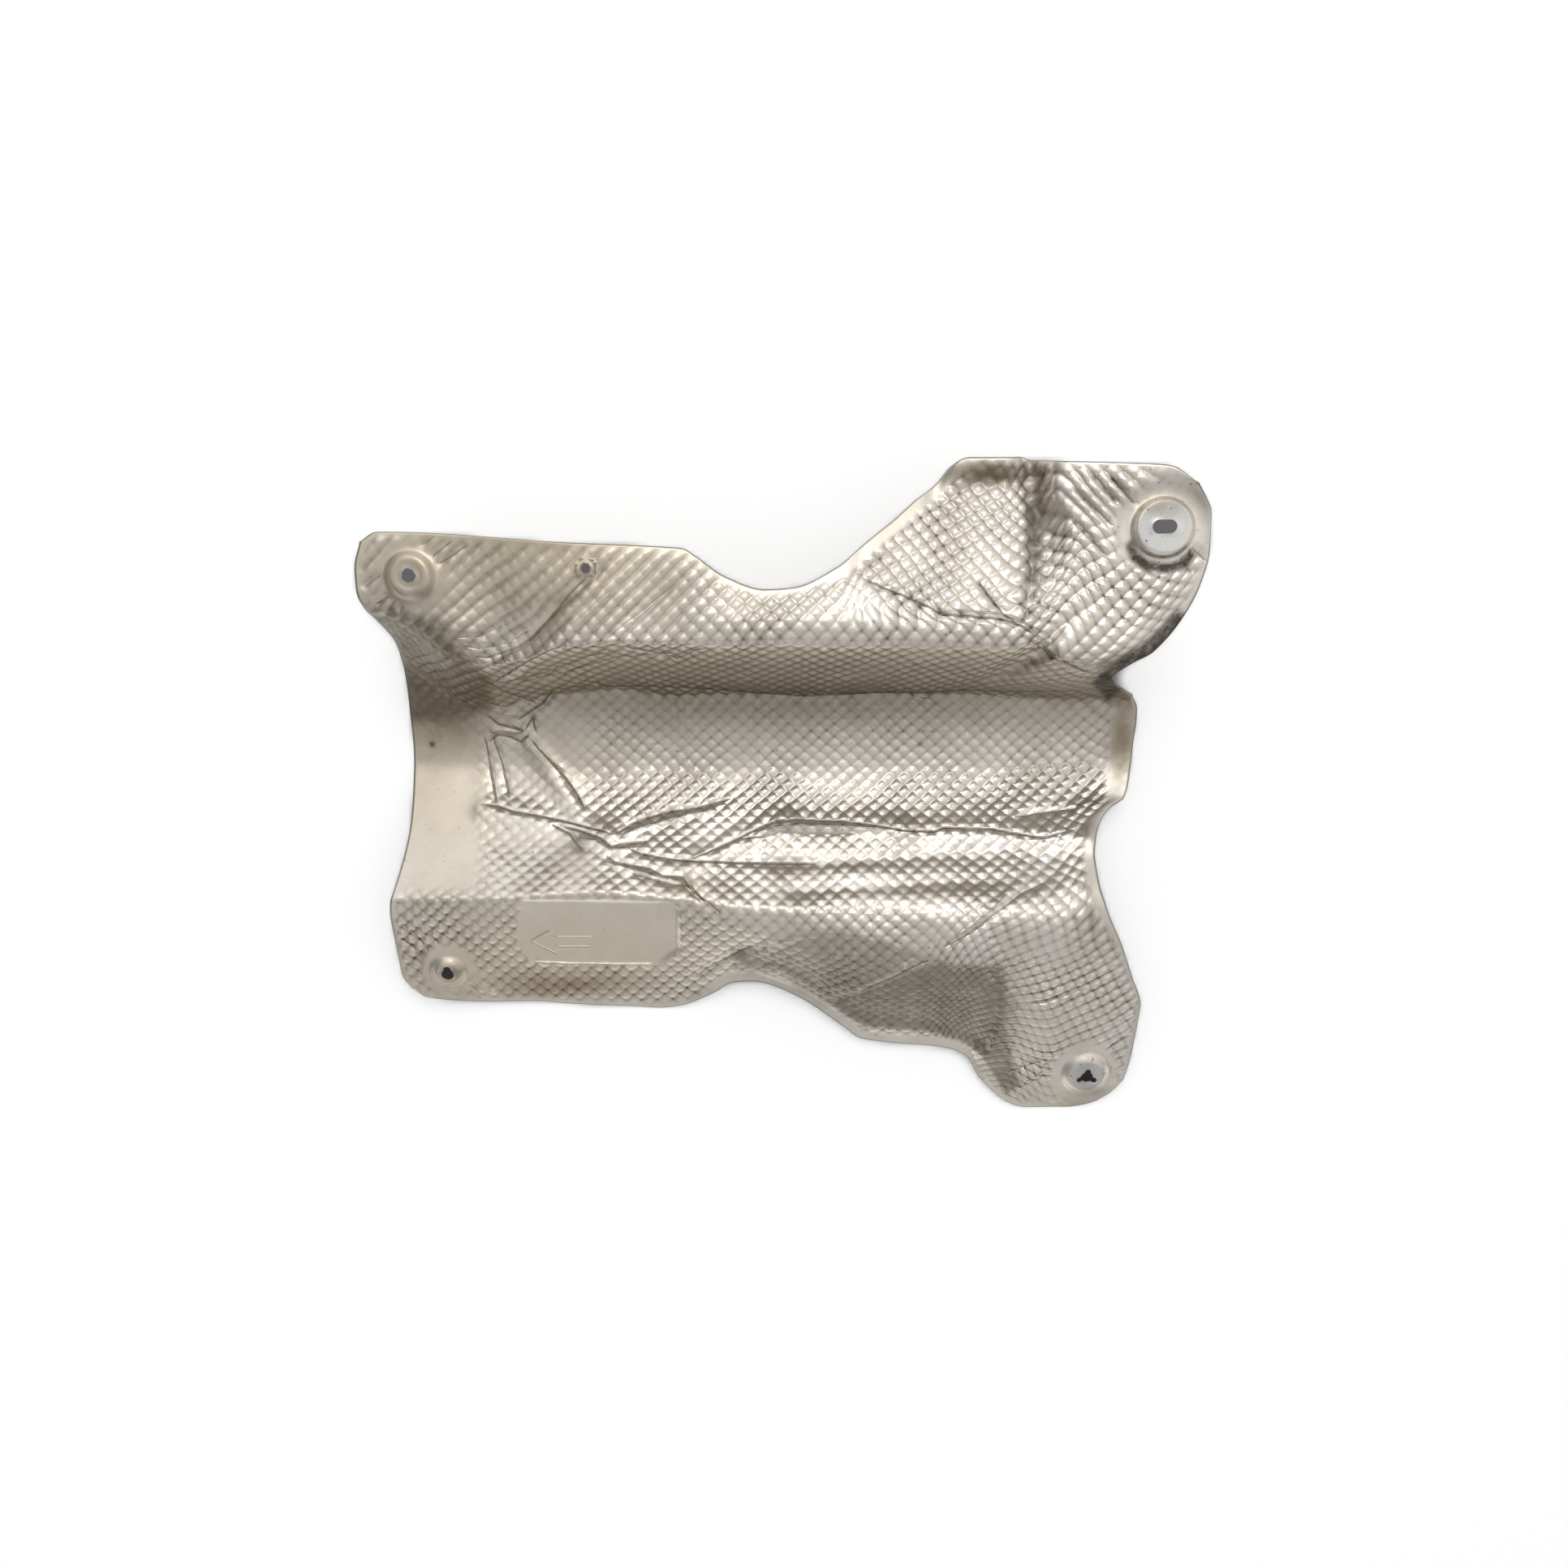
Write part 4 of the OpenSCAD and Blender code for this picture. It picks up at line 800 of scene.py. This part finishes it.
def buildSheet():
    topPoints, faces, kinds, topValues, topEdges, topRings = oneSide(embossing["cellsTop"], 0.0, 0)
    print("seen side made")
    underPoints, underFaces, underKinds, underValues, underEdges, underRings = oneSide(
        embossing["cellsUnder"], sheet["thickness"], len(topPoints))
    print("underside made")
    low, high = [np.array(corner) / mm for corner in cadBox]
    topPoints[:, 2] = np.maximum(topPoints[:, 2], low[2] + sheet["leastAbove"])
    points = np.clip(np.concatenate((topPoints, underPoints)), low, high)
    values = np.concatenate((topValues, underValues))
    faces, kinds = faces + underFaces, kinds + underKinds
    rim = []
    for name in ("low", "right", "top", "left"):
        rim += zipEdges(topEdges[name], underEdges[name], points)
    for name in bosses:
        a, b = topRings[name], underRings[name]
        rim += list(zip(a, np.roll(a, -1), np.roll(b, -1), b))
    faces += [tuple(int(k) for k in face) for face in rim]
    kinds += [2] * len(rim)
    mesh = bpy.data.meshes.new("heatShieldSheet")
    mesh.from_pydata((points * mm).tolist(), [], faces)
    mesh.polygons.foreach_set("material_index", kinds)
    mesh.shade_smooth()
    mesh.set_sharp_from_angle(angle=math.radians(sheet["sharpAngle"]))
    corner = np.empty(len(mesh.loops), np.int32)
    mesh.loops.foreach_get("vertex_index", corner)
    flatMap = mesh.uv_layers.new(name="flattened")
    flatMap.data.foreach_set("uv", (values[corner, :2] * mm).astype(np.float32).ravel())
    return mesh, points, values


mesh, sheetPoints, sheetValues = buildSheet()
triangles = sum(len(p.vertices) - 2 for p in mesh.polygons)
print("sheet made:", len(mesh.vertices), "points,", triangles, "triangles")
shield = addObject("heatShieldSheet", mesh)

# Stains and painted shade in pixels of the photograph: middle, reach to the sides and down, strength.
# They lie over each other in this order
staining = {
    "tarnish": [
        (650, 690, 300, 120, 0.95), (680, 1170, 260, 70, 0.8), (545, 930, 70, 200, 0.8),
        (900, 830, 480, 40, 0.5), (1100, 640, 110, 90, 0.35), (1340, 1370, 70, 30, 0.4),
        (700, 930, 150, 60, 0.5),
    ],
    # mostly painted shade where the surface faces away from the light: the steep wall and the valley below
    # it, the flare, the upper left flange, the dart, the upper right lip, the pockets and the band beside the
    # right end; dirt and painted shade at the right tab and the neck
    "paintedShade": [
        (965, 862, 460, 42, 0.95), (1000, 825, 400, 20, 0.6), (545, 842, 50, 50, 0.5),
        (1222, 1240, 26, 50, 1.0), (1382, 920, 20, 55, 0.9), (1222, 584, 45, 15, 0.8),
        (505, 800, 70, 55, 1.0), (1375, 836, 40, 24, 0.8), (500, 735, 60, 40, 0.35),
        (830, 730, 60, 40, 0.35), (1277, 650, 15, 90, 0.75), (1345, 1060, 18, 100, 0.5),
        (500, 955, 40, 110, 0.2),
    ],
    "brown": [
        (693, 1214, 95, 16, 0.8), (845, 1088, 12, 8, 0.7), (560, 1215, 40, 30, 0.4),
        (500, 712, 45, 45, 0.25), (690, 664, 110, 12, 0.35), (1222, 583, 48, 14, 0.9),
        (1434, 622, 40, 16, 0.45), (1345, 1366, 60, 12, 0.5), (1385, 910, 16, 60, 0.5),
        (540, 855, 55, 70, 0.6),
    ],
    # mostly painted shade: the lower sides of the seats, the inside of the pierced hole, the dart, the flare
    # and the pocket; dark dirt at the neck and in the small dots
    "dark": [
        (1392, 828, 40, 22, 0.6), (1337, 1326, 20, 20, 0.3), (722, 701, 7, 8, 1.0),
        (520, 731, 14, 7, 0.4), (560, 1198, 10, 8, 0.5), (533, 1193, 6, 7, 0.4),
        (915, 1178, 14, 9, 0.6), (1345, 1345, 22, 8, 0.4), (1222, 585, 40, 12, 0.5),
        (695, 738, 22, 10, 0.5), (532, 917, 4, 4, 1.0), (1134, 917, 3, 3, 1.0),
        (1276, 655, 9, 75, 0.6), (495, 795, 55, 50, 0.5), (545, 845, 45, 40, 0.4),
        (540, 870, 50, 40, 0.4), (1060, 1215, 150, 50, 0.3),
    ],
}
shaded = [  # painted shade over areas: the shadow below the upper right seat, the band at the neck (dirt and painted shade), the flare and the pockets; layer, corners in pixels, strength and how far it fades in millimetres
    # painted shadow below the upper right seat
    ("dark", [(1396, 662), (1402, 679), (1415, 690), (1435, 694), (1454, 690), (1467, 676), (1474, 682),
              (1463, 700), (1438, 707), (1412, 703), (1394, 689), (1387, 671)], 1.0, 3.0),
    # dirt and painted shade along the neck
    ("dark", [(1346, 842), (1360, 826), (1384, 808), (1410, 790), (1432, 772), (1448, 752), (1470, 756),
              (1452, 800), (1420, 822), (1396, 838), (1382, 852), (1366, 864)], 0.95, 4.0),
    # painted shade on the flare
    ("paintedShade", [(440, 748), (500, 760), (560, 792), (606, 834), (612, 872), (570, 890), (500, 892),
              (470, 830)], 1.0, 8.0),
    ("dark", [(440, 748), (500, 764), (556, 796), (600, 838), (600, 872), (560, 886), (500, 888),
              (470, 830)], 0.42, 8.0),
    # painted shade in the pockets
    ("paintedShade", [(900, 1170), (960, 1158), (1000, 1147), (1040, 1147), (1100, 1163), (1150, 1181),
              (1062, 1220), (1066, 1268), (1020, 1237), (960, 1200), (906, 1195)], 0.55, 6.0),
    ("paintedShade", [(1018, 1234), (1062, 1220), (1156, 1182), (1172, 1189), (1233, 1190), (1243, 1212),
              (1240, 1262), (1250, 1312), (1258, 1338), (1240, 1350), (1208, 1300), (1190, 1285),
              (1150, 1272), (1066, 1265), (1040, 1252)], 0.9, 2.2),
]


def addLayer(mesh, name, values):  # one value for each point
    layer = mesh.attributes.new(name, "FLOAT", "POINT")
    layer.data.foreach_set("value", values.astype(np.float32))


pixelX, pixelY = seenAt(sheetPoints)
for name, spots in staining.items():
    amount = np.zeros(len(sheetPoints))
    for x, y, wide, high, strength in spots:
        gap = ((pixelX - x) / wide) ** 2 + ((pixelY - y) / high) ** 2
        amount = np.maximum(amount, strength * np.exp(-gap))
    for kind, corners, strength, fade in shaded:
        if kind == name:
            depth = inside(pixelX, pixelY, corners) * camera["floorPixel"]
            amount = np.maximum(amount, strength * ease(0.5 + depth / fade))
    addLayer(mesh, name + "Overlay", amount)
for column, name in enumerate(layers):
    addLayer(mesh, name, sheetValues[:, 2 + column])
print("stains placed")

metal = {
    "clean": (0.88, 0.83, 0.76),
    "dull": (0.76, 0.70, 0.62),
    "tarnish": (0.76, 0.66, 0.51),
    "groove": (0.16, 0.13, 0.095),  # dirt and painted shade between the knobs and in the creases, painted shade along the rim
    "brown": (0.36, 0.27, 0.155),
    # near black: the specks, and the dark layer, which is mostly painted shade
    "dark": (0.075, 0.062, 0.048),
    "paintedShade": (0.36, 0.325, 0.27),  # painted shade where the surface faces away from the light, with some dirt at the right tab and the neck
    "seat": (0.66, 0.66, 0.67),
    "seatClean": (0.80, 0.78, 0.74),
    "cut": (0.90, 0.87, 0.82),
    "breakUp": {"tarnish": 1.0, "paintedShade": 0.8, "brown": 2.0, "dark": 2.0, "groove": 1.6},  # how patchy each is
    "cloudScale": 160,  # of the patches in each overlay
    # painted shade in the grooves between the knobs, in the pits where they cross and in the creases
    "grooveShade": 0.29,
    "pitShade": 0.55,
    "creaseShade": 0.35,
    "grooveSharpness": 3.0,
    "grooveDepth": 0.14,  # millimetres, as the grain and the lines are
    # the rim band: painted shade along the cut edge, and a rounded fall in the bump
    "rimWidth": 1.0,
    "rimDepth": 0.35,
    "rimShade": 1.0,
    "metallic": 0.9,
    "dirtAndShadeMetallic": 0.45,
    "roughness": 0.27,
    "dirtAndShadeRoughness": 0.25,  # added where brown or dark lies
    "unevenRoughness": (-0.1, 0.16),
    "patchSize": 45.0,  # scale of the dull patches
    "patchRange": (0.38, 0.66),
    "speckScale": 420,
    "speckRange": (0.68, 0.74),
    "grainScale": 900,
    "grain": 0.05,
    "lineWidth": 0.38,
    "lineDepth": 0.55,
}


def makeGroup(name, inputs, outputs):  # inputs with their values, outputs with their kinds
    group = bpy.data.node_groups.new(name, "ShaderNodeTree")
    for socket, value in inputs.items():
        kind = "Color" if isinstance(value, tuple) else "Float"
        item = group.interface.new_socket(name=socket, in_out="INPUT", socket_type="NodeSocket" + kind)
        item.default_value = value
    for socket, kind in outputs.items():
        group.interface.new_socket(name=socket, in_out="OUTPUT", socket_type="NodeSocket" + kind)
    return group, group.nodes.new("NodeGroupInput").outputs, group.nodes.new("NodeGroupOutput").inputs


def addNode(tree, kind, values=None, **settings):
    node = tree.nodes.new("ShaderNode" + kind)
    for name, value in settings.items():
        setattr(node, name, value)
    for name, value in (values or {}).items():
        if isinstance(value, bpy.types.NodeSocket):
            tree.links.new(value, node.inputs[name])
        else:
            node.inputs[name].default_value = value
    return node


def addMath(tree, operation, first, second=0.0, third=0.0, clamp=False):
    values = dict(enumerate((first, second, third)))
    return addNode(tree, "Math", values, operation=operation, use_clamp=clamp).outputs["Value"]


def addNoise(tree, scale, detail, roughness=0.5):
    place = addNode(tree, "TexCoord").outputs["Object"]
    values = {"Vector": place, "Scale": scale, "Detail": detail, "Roughness": roughness}
    return addNode(tree, "TexNoise", values).outputs["Fac"]


def addRange(tree, value, ends, results=(0, 1), **settings):
    values = {"Value": value, "From Min": ends[0], "From Max": ends[1],
              "To Min": results[0], "To Max": results[1]}
    return addNode(tree, "MapRange", values, **settings).outputs["Result"]


def addMix(tree, share, first, second):  # of two colours
    return addNode(tree, "Mix", {0: share, 6: first, 7: second}, data_type="RGBA").outputs[2]


def makeAluminium():  # colour, roughness and height of used aluminium
    group, given, out = makeGroup(
        "usedAluminium",
        {"Clean": (*metal["clean"], 1), "Dull": (*metal["dull"], 1), "Patch Scale": metal["patchSize"],
         "Roughness": metal["roughness"], "Speck Amount": 0.5},
        {"Color": "Color", "Roughness": "Float", "Height": "Float"})
    patches = addNoise(group, given["Patch Scale"], detail=6, roughness=0.62)
    blend = addMix(group, addRange(group, patches, metal["patchRange"]), given["Clean"], given["Dull"])
    specks = addRange(group, addNoise(group, metal["speckScale"], detail=2), metal["speckRange"])
    specks = addMath(group, "MULTIPLY", specks, given["Speck Amount"])
    uneven = addRange(group, patches, (0, 1), metal["unevenRoughness"])
    group.links.new(addMix(group, specks, blend, (*metal["dark"], 1)), out["Color"])
    group.links.new(addMath(group, "ADD", uneven, given["Roughness"], clamp=True), out["Roughness"])
    group.links.new(addNoise(group, metal["grainScale"], detail=3), out["Height"])
    return group


def makeStainAndShade():  # lays one colour over another where its mask says: stains, and painted shade for the shade layers
    group, given, out = makeGroup(
        "stainAndShade", {"Under": (1, 1, 1, 1), "Overlay": (1, 1, 1, 1), "Mask": 0.0, "Break Up": 2.0},
        {"Color": "Color", "Amount": "Float"})
    cloud = addMath(group, "SUBTRACT", addNoise(group, metal["cloudScale"], detail=6, roughness=0.7), 0.5)
    patchy = addMath(group, "MULTIPLY_ADD", cloud, given["Break Up"], 1.0)
    amount = addMath(group, "MULTIPLY", given["Mask"], patchy, clamp=True)
    group.links.new(addMix(group, amount, given["Under"], given["Overlay"]), out["Color"])
    group.links.new(amount, out["Amount"])
    return group


def makePressedLine():  # a narrow line pressed in where the gap to it is nothing
    group, given, out = makeGroup(
        "pressedLine", {"Gap": 0.0, "Depth": 0.0, "Width": metal["lineWidth"], "Below": 0.0},
        {"Height": "Float"})
    share = addMath(group, "DIVIDE", given["Gap"], given["Width"])
    square = addMath(group, "MULTIPLY", share, share)
    fall = addMath(group, "EXPONENT", addMath(group, "MULTIPLY", square, -1.0))
    line = addMath(group, "MULTIPLY_ADD", fall, given["Depth"], given["Below"])
    group.links.new(line, out["Height"])
    return group


def makeEmbossing():  # grooves between the rows of knobs, and the pits where they cross
    group, given, out = makeGroup(
        "embossing",
        {"Row A": 0.0, "Row B": 0.0, "Lean": 0.0, "Present": 0.0, "Sharpness": metal["grooveSharpness"]},
        {"Groove": "Float", "Pit": "Float"})
    depths = []
    for row, way in (("Row A", 1.0), ("Row B", -1.0)):
        wave = addMath(group, "MULTIPLY_ADD", addMath(group, "COSINE", given[row]), -0.5, 0.5)
        groove = addMath(group, "POWER", wave, given["Sharpness"])
        shallow = addMath(group, "MAXIMUM", addMath(group, "MULTIPLY", given["Lean"], way), 0.0)
        share = addMath(group, "MULTIPLY_ADD", shallow, -embossing["lean"], 1.0)
        depths.append(addMath(group, "MULTIPLY", groove, share))
    for socket, operation in (("Groove", "MAXIMUM"), ("Pit", "MULTIPLY")):
        both = addMath(group, operation, *depths)
        group.links.new(addMath(group, "MULTIPLY", both, given["Present"]), out[socket])
    return group


aluminium, stainAndShade, pressedLine, embossed = makeAluminium(), makeStainAndShade(), makePressedLine(), makeEmbossing()


def makeMetal(name, clean, dull, roughness, specks, bump):  # one finish with its stains, dirt, painted shade and relief
    material = bpy.data.materials.new(name)
    material.use_nodes = True
    tree = material.node_tree
    shader = tree.nodes["Principled BSDF"]

    def layer(name):
        return addNode(tree, "Attribute", attribute_name=name).outputs["Fac"]

    def use(group, values):
        return addNode(tree, "Group", values, node_tree=group).outputs

    def stained(color, kind, mask):
        return use(stainAndShade, {"Under": color, "Overlay": (*metal[kind], 1), "Mask": mask,
                           "Break Up": metal["breakUp"][kind]})

    base = use(aluminium, {"Clean": (*clean, 1), "Dull": (*dull, 1), "Roughness": roughness,
                           "Speck Amount": specks})
    color, amounts, lines = base["Color"], {}, 0.0
    for kind in staining:
        outputs = stained(color, kind, layer(kind + "Overlay"))
        color, amounts[kind] = outputs["Color"], outputs["Amount"]
    for k in range(lineGroups):
        lines = use(pressedLine, {"Gap": layer(f"lineGap{k}"), "Depth": layer(f"lineDepth{k}"),
                                  "Below": lines})["Height"]
    rows = use(embossed, {"Row A": layer("rowA"), "Row B": layer("rowB"), "Lean": layer("lean"),
                          "Present": layer("embossed")})
    # painted shade in the creases, the grooves and the pits
    recessShade = addMath(tree, "MULTIPLY", lines, -metal["creaseShade"], clamp=True)
    recessShade = addMath(tree, "MULTIPLY_ADD", rows["Groove"], metal["grooveShade"], recessShade)
    recessShade = addMath(tree, "MULTIPLY_ADD", rows["Pit"], metal["pitShade"], recessShade)
    color = stained(color, "groove", recessShade)["Color"]
    # painted shade along the cut edge
    rim = addMath(tree, "MULTIPLY_ADD", layer("fromRim"), -1 / metal["rimWidth"], 1.0, clamp=True)
    rim = addMath(tree, "MULTIPLY", rim, rim)
    color = addMix(tree, addMath(tree, "MULTIPLY", rim, metal["rimShade"]), color, (*metal["groove"], 1))
    # brown stains, with the dark layer, which is mostly painted shade
    dirtAndShade = addMath(tree, "MAXIMUM", amounts["brown"], amounts["dark"])
    rough = addMath(tree, "MULTIPLY_ADD", dirtAndShade, metal["dirtAndShadeRoughness"], base["Roughness"], clamp=True)
    height = addMath(tree, "MULTIPLY", base["Height"], metal["grain"] * bump)
    height = addMath(tree, "MULTIPLY_ADD", lines, metal["lineDepth"], height)
    height = addMath(tree, "MULTIPLY_ADD", rows["Groove"], -metal["grooveDepth"], height)
    height = addMath(tree, "MULTIPLY_ADD", rim, -metal["rimDepth"], height)
    dent = addNode(tree, "Bump", {"Distance": mm, "Height": height})
    tree.links.new(color, shader.inputs["Base Color"])
    tree.links.new(rough, shader.inputs["Roughness"])
    tree.links.new(addRange(tree, dirtAndShade, (0, 1), (metal["metallic"], metal["dirtAndShadeMetallic"])),
                   shader.inputs["Metallic"])
    tree.links.new(dent.outputs["Normal"], shader.inputs["Normal"])
    return material


finishes = [  # in the order of the faces' kinds
    {"name": "embossedAluminium", "clean": metal["clean"], "dull": metal["dull"],
     "roughness": metal["roughness"], "specks": 0.5, "bump": 0.35},
    {"name": "boltSeatAluminium", "clean": metal["seatClean"], "dull": metal["seat"],
     "roughness": 0.24, "specks": 0.8, "bump": 0.6},
    {"name": "cutEdgeAluminium", "clean": metal["cut"], "dull": metal["clean"],
     "roughness": 0.3, "specks": 0.2, "bump": 0.5},
]
for finish in finishes:
    mesh.materials.append(makeMetal(**finish))
print("materials made")

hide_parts("heat_shield")
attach(shield, "root")

studio = {
    "floor": (0.86, 0.86, 0.86),
    "floorReach": 6,  # metres, as the lengths below are
    "floorGlow": 0.42,  # how much of the floor's white comes from itself
    # colour of the painted shadow on the floor where the sheet hides it from above
    "paintedShadowUnderSheet": (0.2, 0.2, 0.21),
    "coverReach": (0.222, 0.186),  # half of the part of the floor that the sheet can hide
    "coverStep": 0.0022,
    "coverGap": 0.0025,  # between points of the sheet, as they are seen on the floor
    "coverBlur": 16,  # passes
    "coverFade": (0.6, 0.38),  # where the shade starts, and over how much it rises
    "room": 0.26,  # light from everywhere
    "panels": [  # wide soft panels: direction, angles at which each starts to fade and ends, strength
        {"aim": (0.1, 0.85, 0.5), "full": 20, "end": 62, "strength": 0.46},
        {"aim": (-0.2, 0.0, 1.0), "full": 12, "end": 45, "strength": 0.32},
        {"aim": (0.7, 0.0, 0.7), "full": 15, "end": 45, "strength": 0.45},
        {"aim": (0.0, -0.9, 0.4), "full": 22, "end": 44, "strength": 0.3},
    ],
    "lamps": [
        {"name": "window", "place": (-0.25, 1.0, 1.0), "size": 1.4, "power": 2.0},
        {"name": "softbox", "place": (0.06, 0.78, 1.0), "size": 0.42, "power": 1.4},
    ],
}


def paintedShadowMask(points, shape):  # painted shadow: 1 where the sheet hides the floor from above and 0 beside it, softened
    high = camera["place"][2]
    onFloor = (sheetPoints - camera["place"]) * (high / (high - sheetPoints[:, 2:])) + camera["place"]
    above = kdtree.KDTree(len(sheetPoints))
    for k, (x, y, z) in enumerate(onFloor * mm):
        above.insert((x, y, 0), k)
    above.balance()
    under = np.array([above.find(point)[2] < studio["coverGap"] for point in points], float).reshape(shape)
    for turn in range(studio["coverBlur"]):
        beside = (under[:-2, 1:-1] + under[2:, 1:-1] + under[1:-1, :-2] + under[1:-1, 2:]) / 4
        under[1:-1, 1:-1] = (under[1:-1, 1:-1] + beside) / 2
    return risen(under.ravel(), studio["coverFade"])


def makeFloor():  # pale, with a painted shadow where the sheet hides it
    far, step = studio["floorReach"], studio["coverStep"]
    ticks = [np.concatenate(([-far], np.arange(-half, half + step, step), [far]))
             for half in studio["coverReach"]]
    across, down = np.meshgrid(*ticks, indexing="ij")
    points = np.stack((across.ravel(), down.ravel(), 0 * down.ravel()), axis=-1)
    floorMesh = bpy.data.meshes.new("floor")
    floorMesh.from_pydata(points.tolist(), [], quadsOf(np.arange(across.size).reshape(across.shape)).tolist())
    addLayer(floorMesh, "paintedShadow", paintedShadowMask(points, across.shape))
    material = bpy.data.materials.new("paleFloor")
    material.use_nodes = True
    tree = material.node_tree
    shader = tree.nodes["Principled BSDF"]
    for socket, value in (("Roughness", 0.9), ("Specular IOR Level", 0.0), ("Emission Color", (1, 1, 1, 1))):
        shader.inputs[socket].default_value = value
    shade = addNode(tree, "Attribute", attribute_name="paintedShadow").outputs["Fac"]
    paleWithPaintedShadow = addMix(tree, shade, (*studio["floor"], 1), (*studio["paintedShadowUnderSheet"], 1))
    tree.links.new(paleWithPaintedShadow, shader.inputs["Base Color"])
    rays = addNode(tree, "LightPath").outputs
    shown = addMath(tree, "MAXIMUM", rays["Is Camera Ray"], rays["Is Glossy Ray"])
    shown = addMath(tree, "MAXIMUM", shown, rays["Is Transmission Ray"])
    # the floor's own glow is taken away under the painted shadow
    clear = addMath(tree, "MULTIPLY_ADD", shade, -studio["floorGlow"], studio["floorGlow"])
    tree.links.new(addMath(tree, "MULTIPLY", shown, clear), shader.inputs["Emission Strength"])
    floorMesh.materials.append(material)
    return addObject("floor", floorMesh)


makeFloor()
for lamp in studio["lamps"]:
    data = bpy.data.lights.new(lamp["name"], "AREA")
    data.size = lamp["size"]
    data.energy = lamp["power"]
    light = addObject(lamp["name"], data)
    light.location = lamp["place"]
    light.rotation_euler = (-Vector(lamp["place"])).to_track_quat("-Z", "Y").to_euler()
world = bpy.context.scene.world or bpy.data.worlds.new("studio")
bpy.context.scene.world = world
world.use_nodes = True
sky = world.node_tree
background = sky.nodes["Background"]
background.inputs["Color"].default_value = (1, 1, 1, 1)
way = addNode(sky, "TexCoord").outputs["Generated"]
strength = studio["room"]
for panel in studio["panels"]:
    aim = Vector(panel["aim"]).normalized()
    facing = addNode(sky, "VectorMath", {0: way, 1: aim}, operation="DOT_PRODUCT").outputs["Value"]
    ends = [math.cos(math.radians(panel[name])) for name in ("end", "full")]
    share = addRange(sky, facing, ends, interpolation_type="SMOOTHSTEP")
    strength = addMath(sky, "MULTIPLY_ADD", share, panel["strength"], strength)
sky.links.new(strength, background.inputs["Strength"])
bpy.context.scene.view_settings.view_transform = "Standard"
print("studio set")
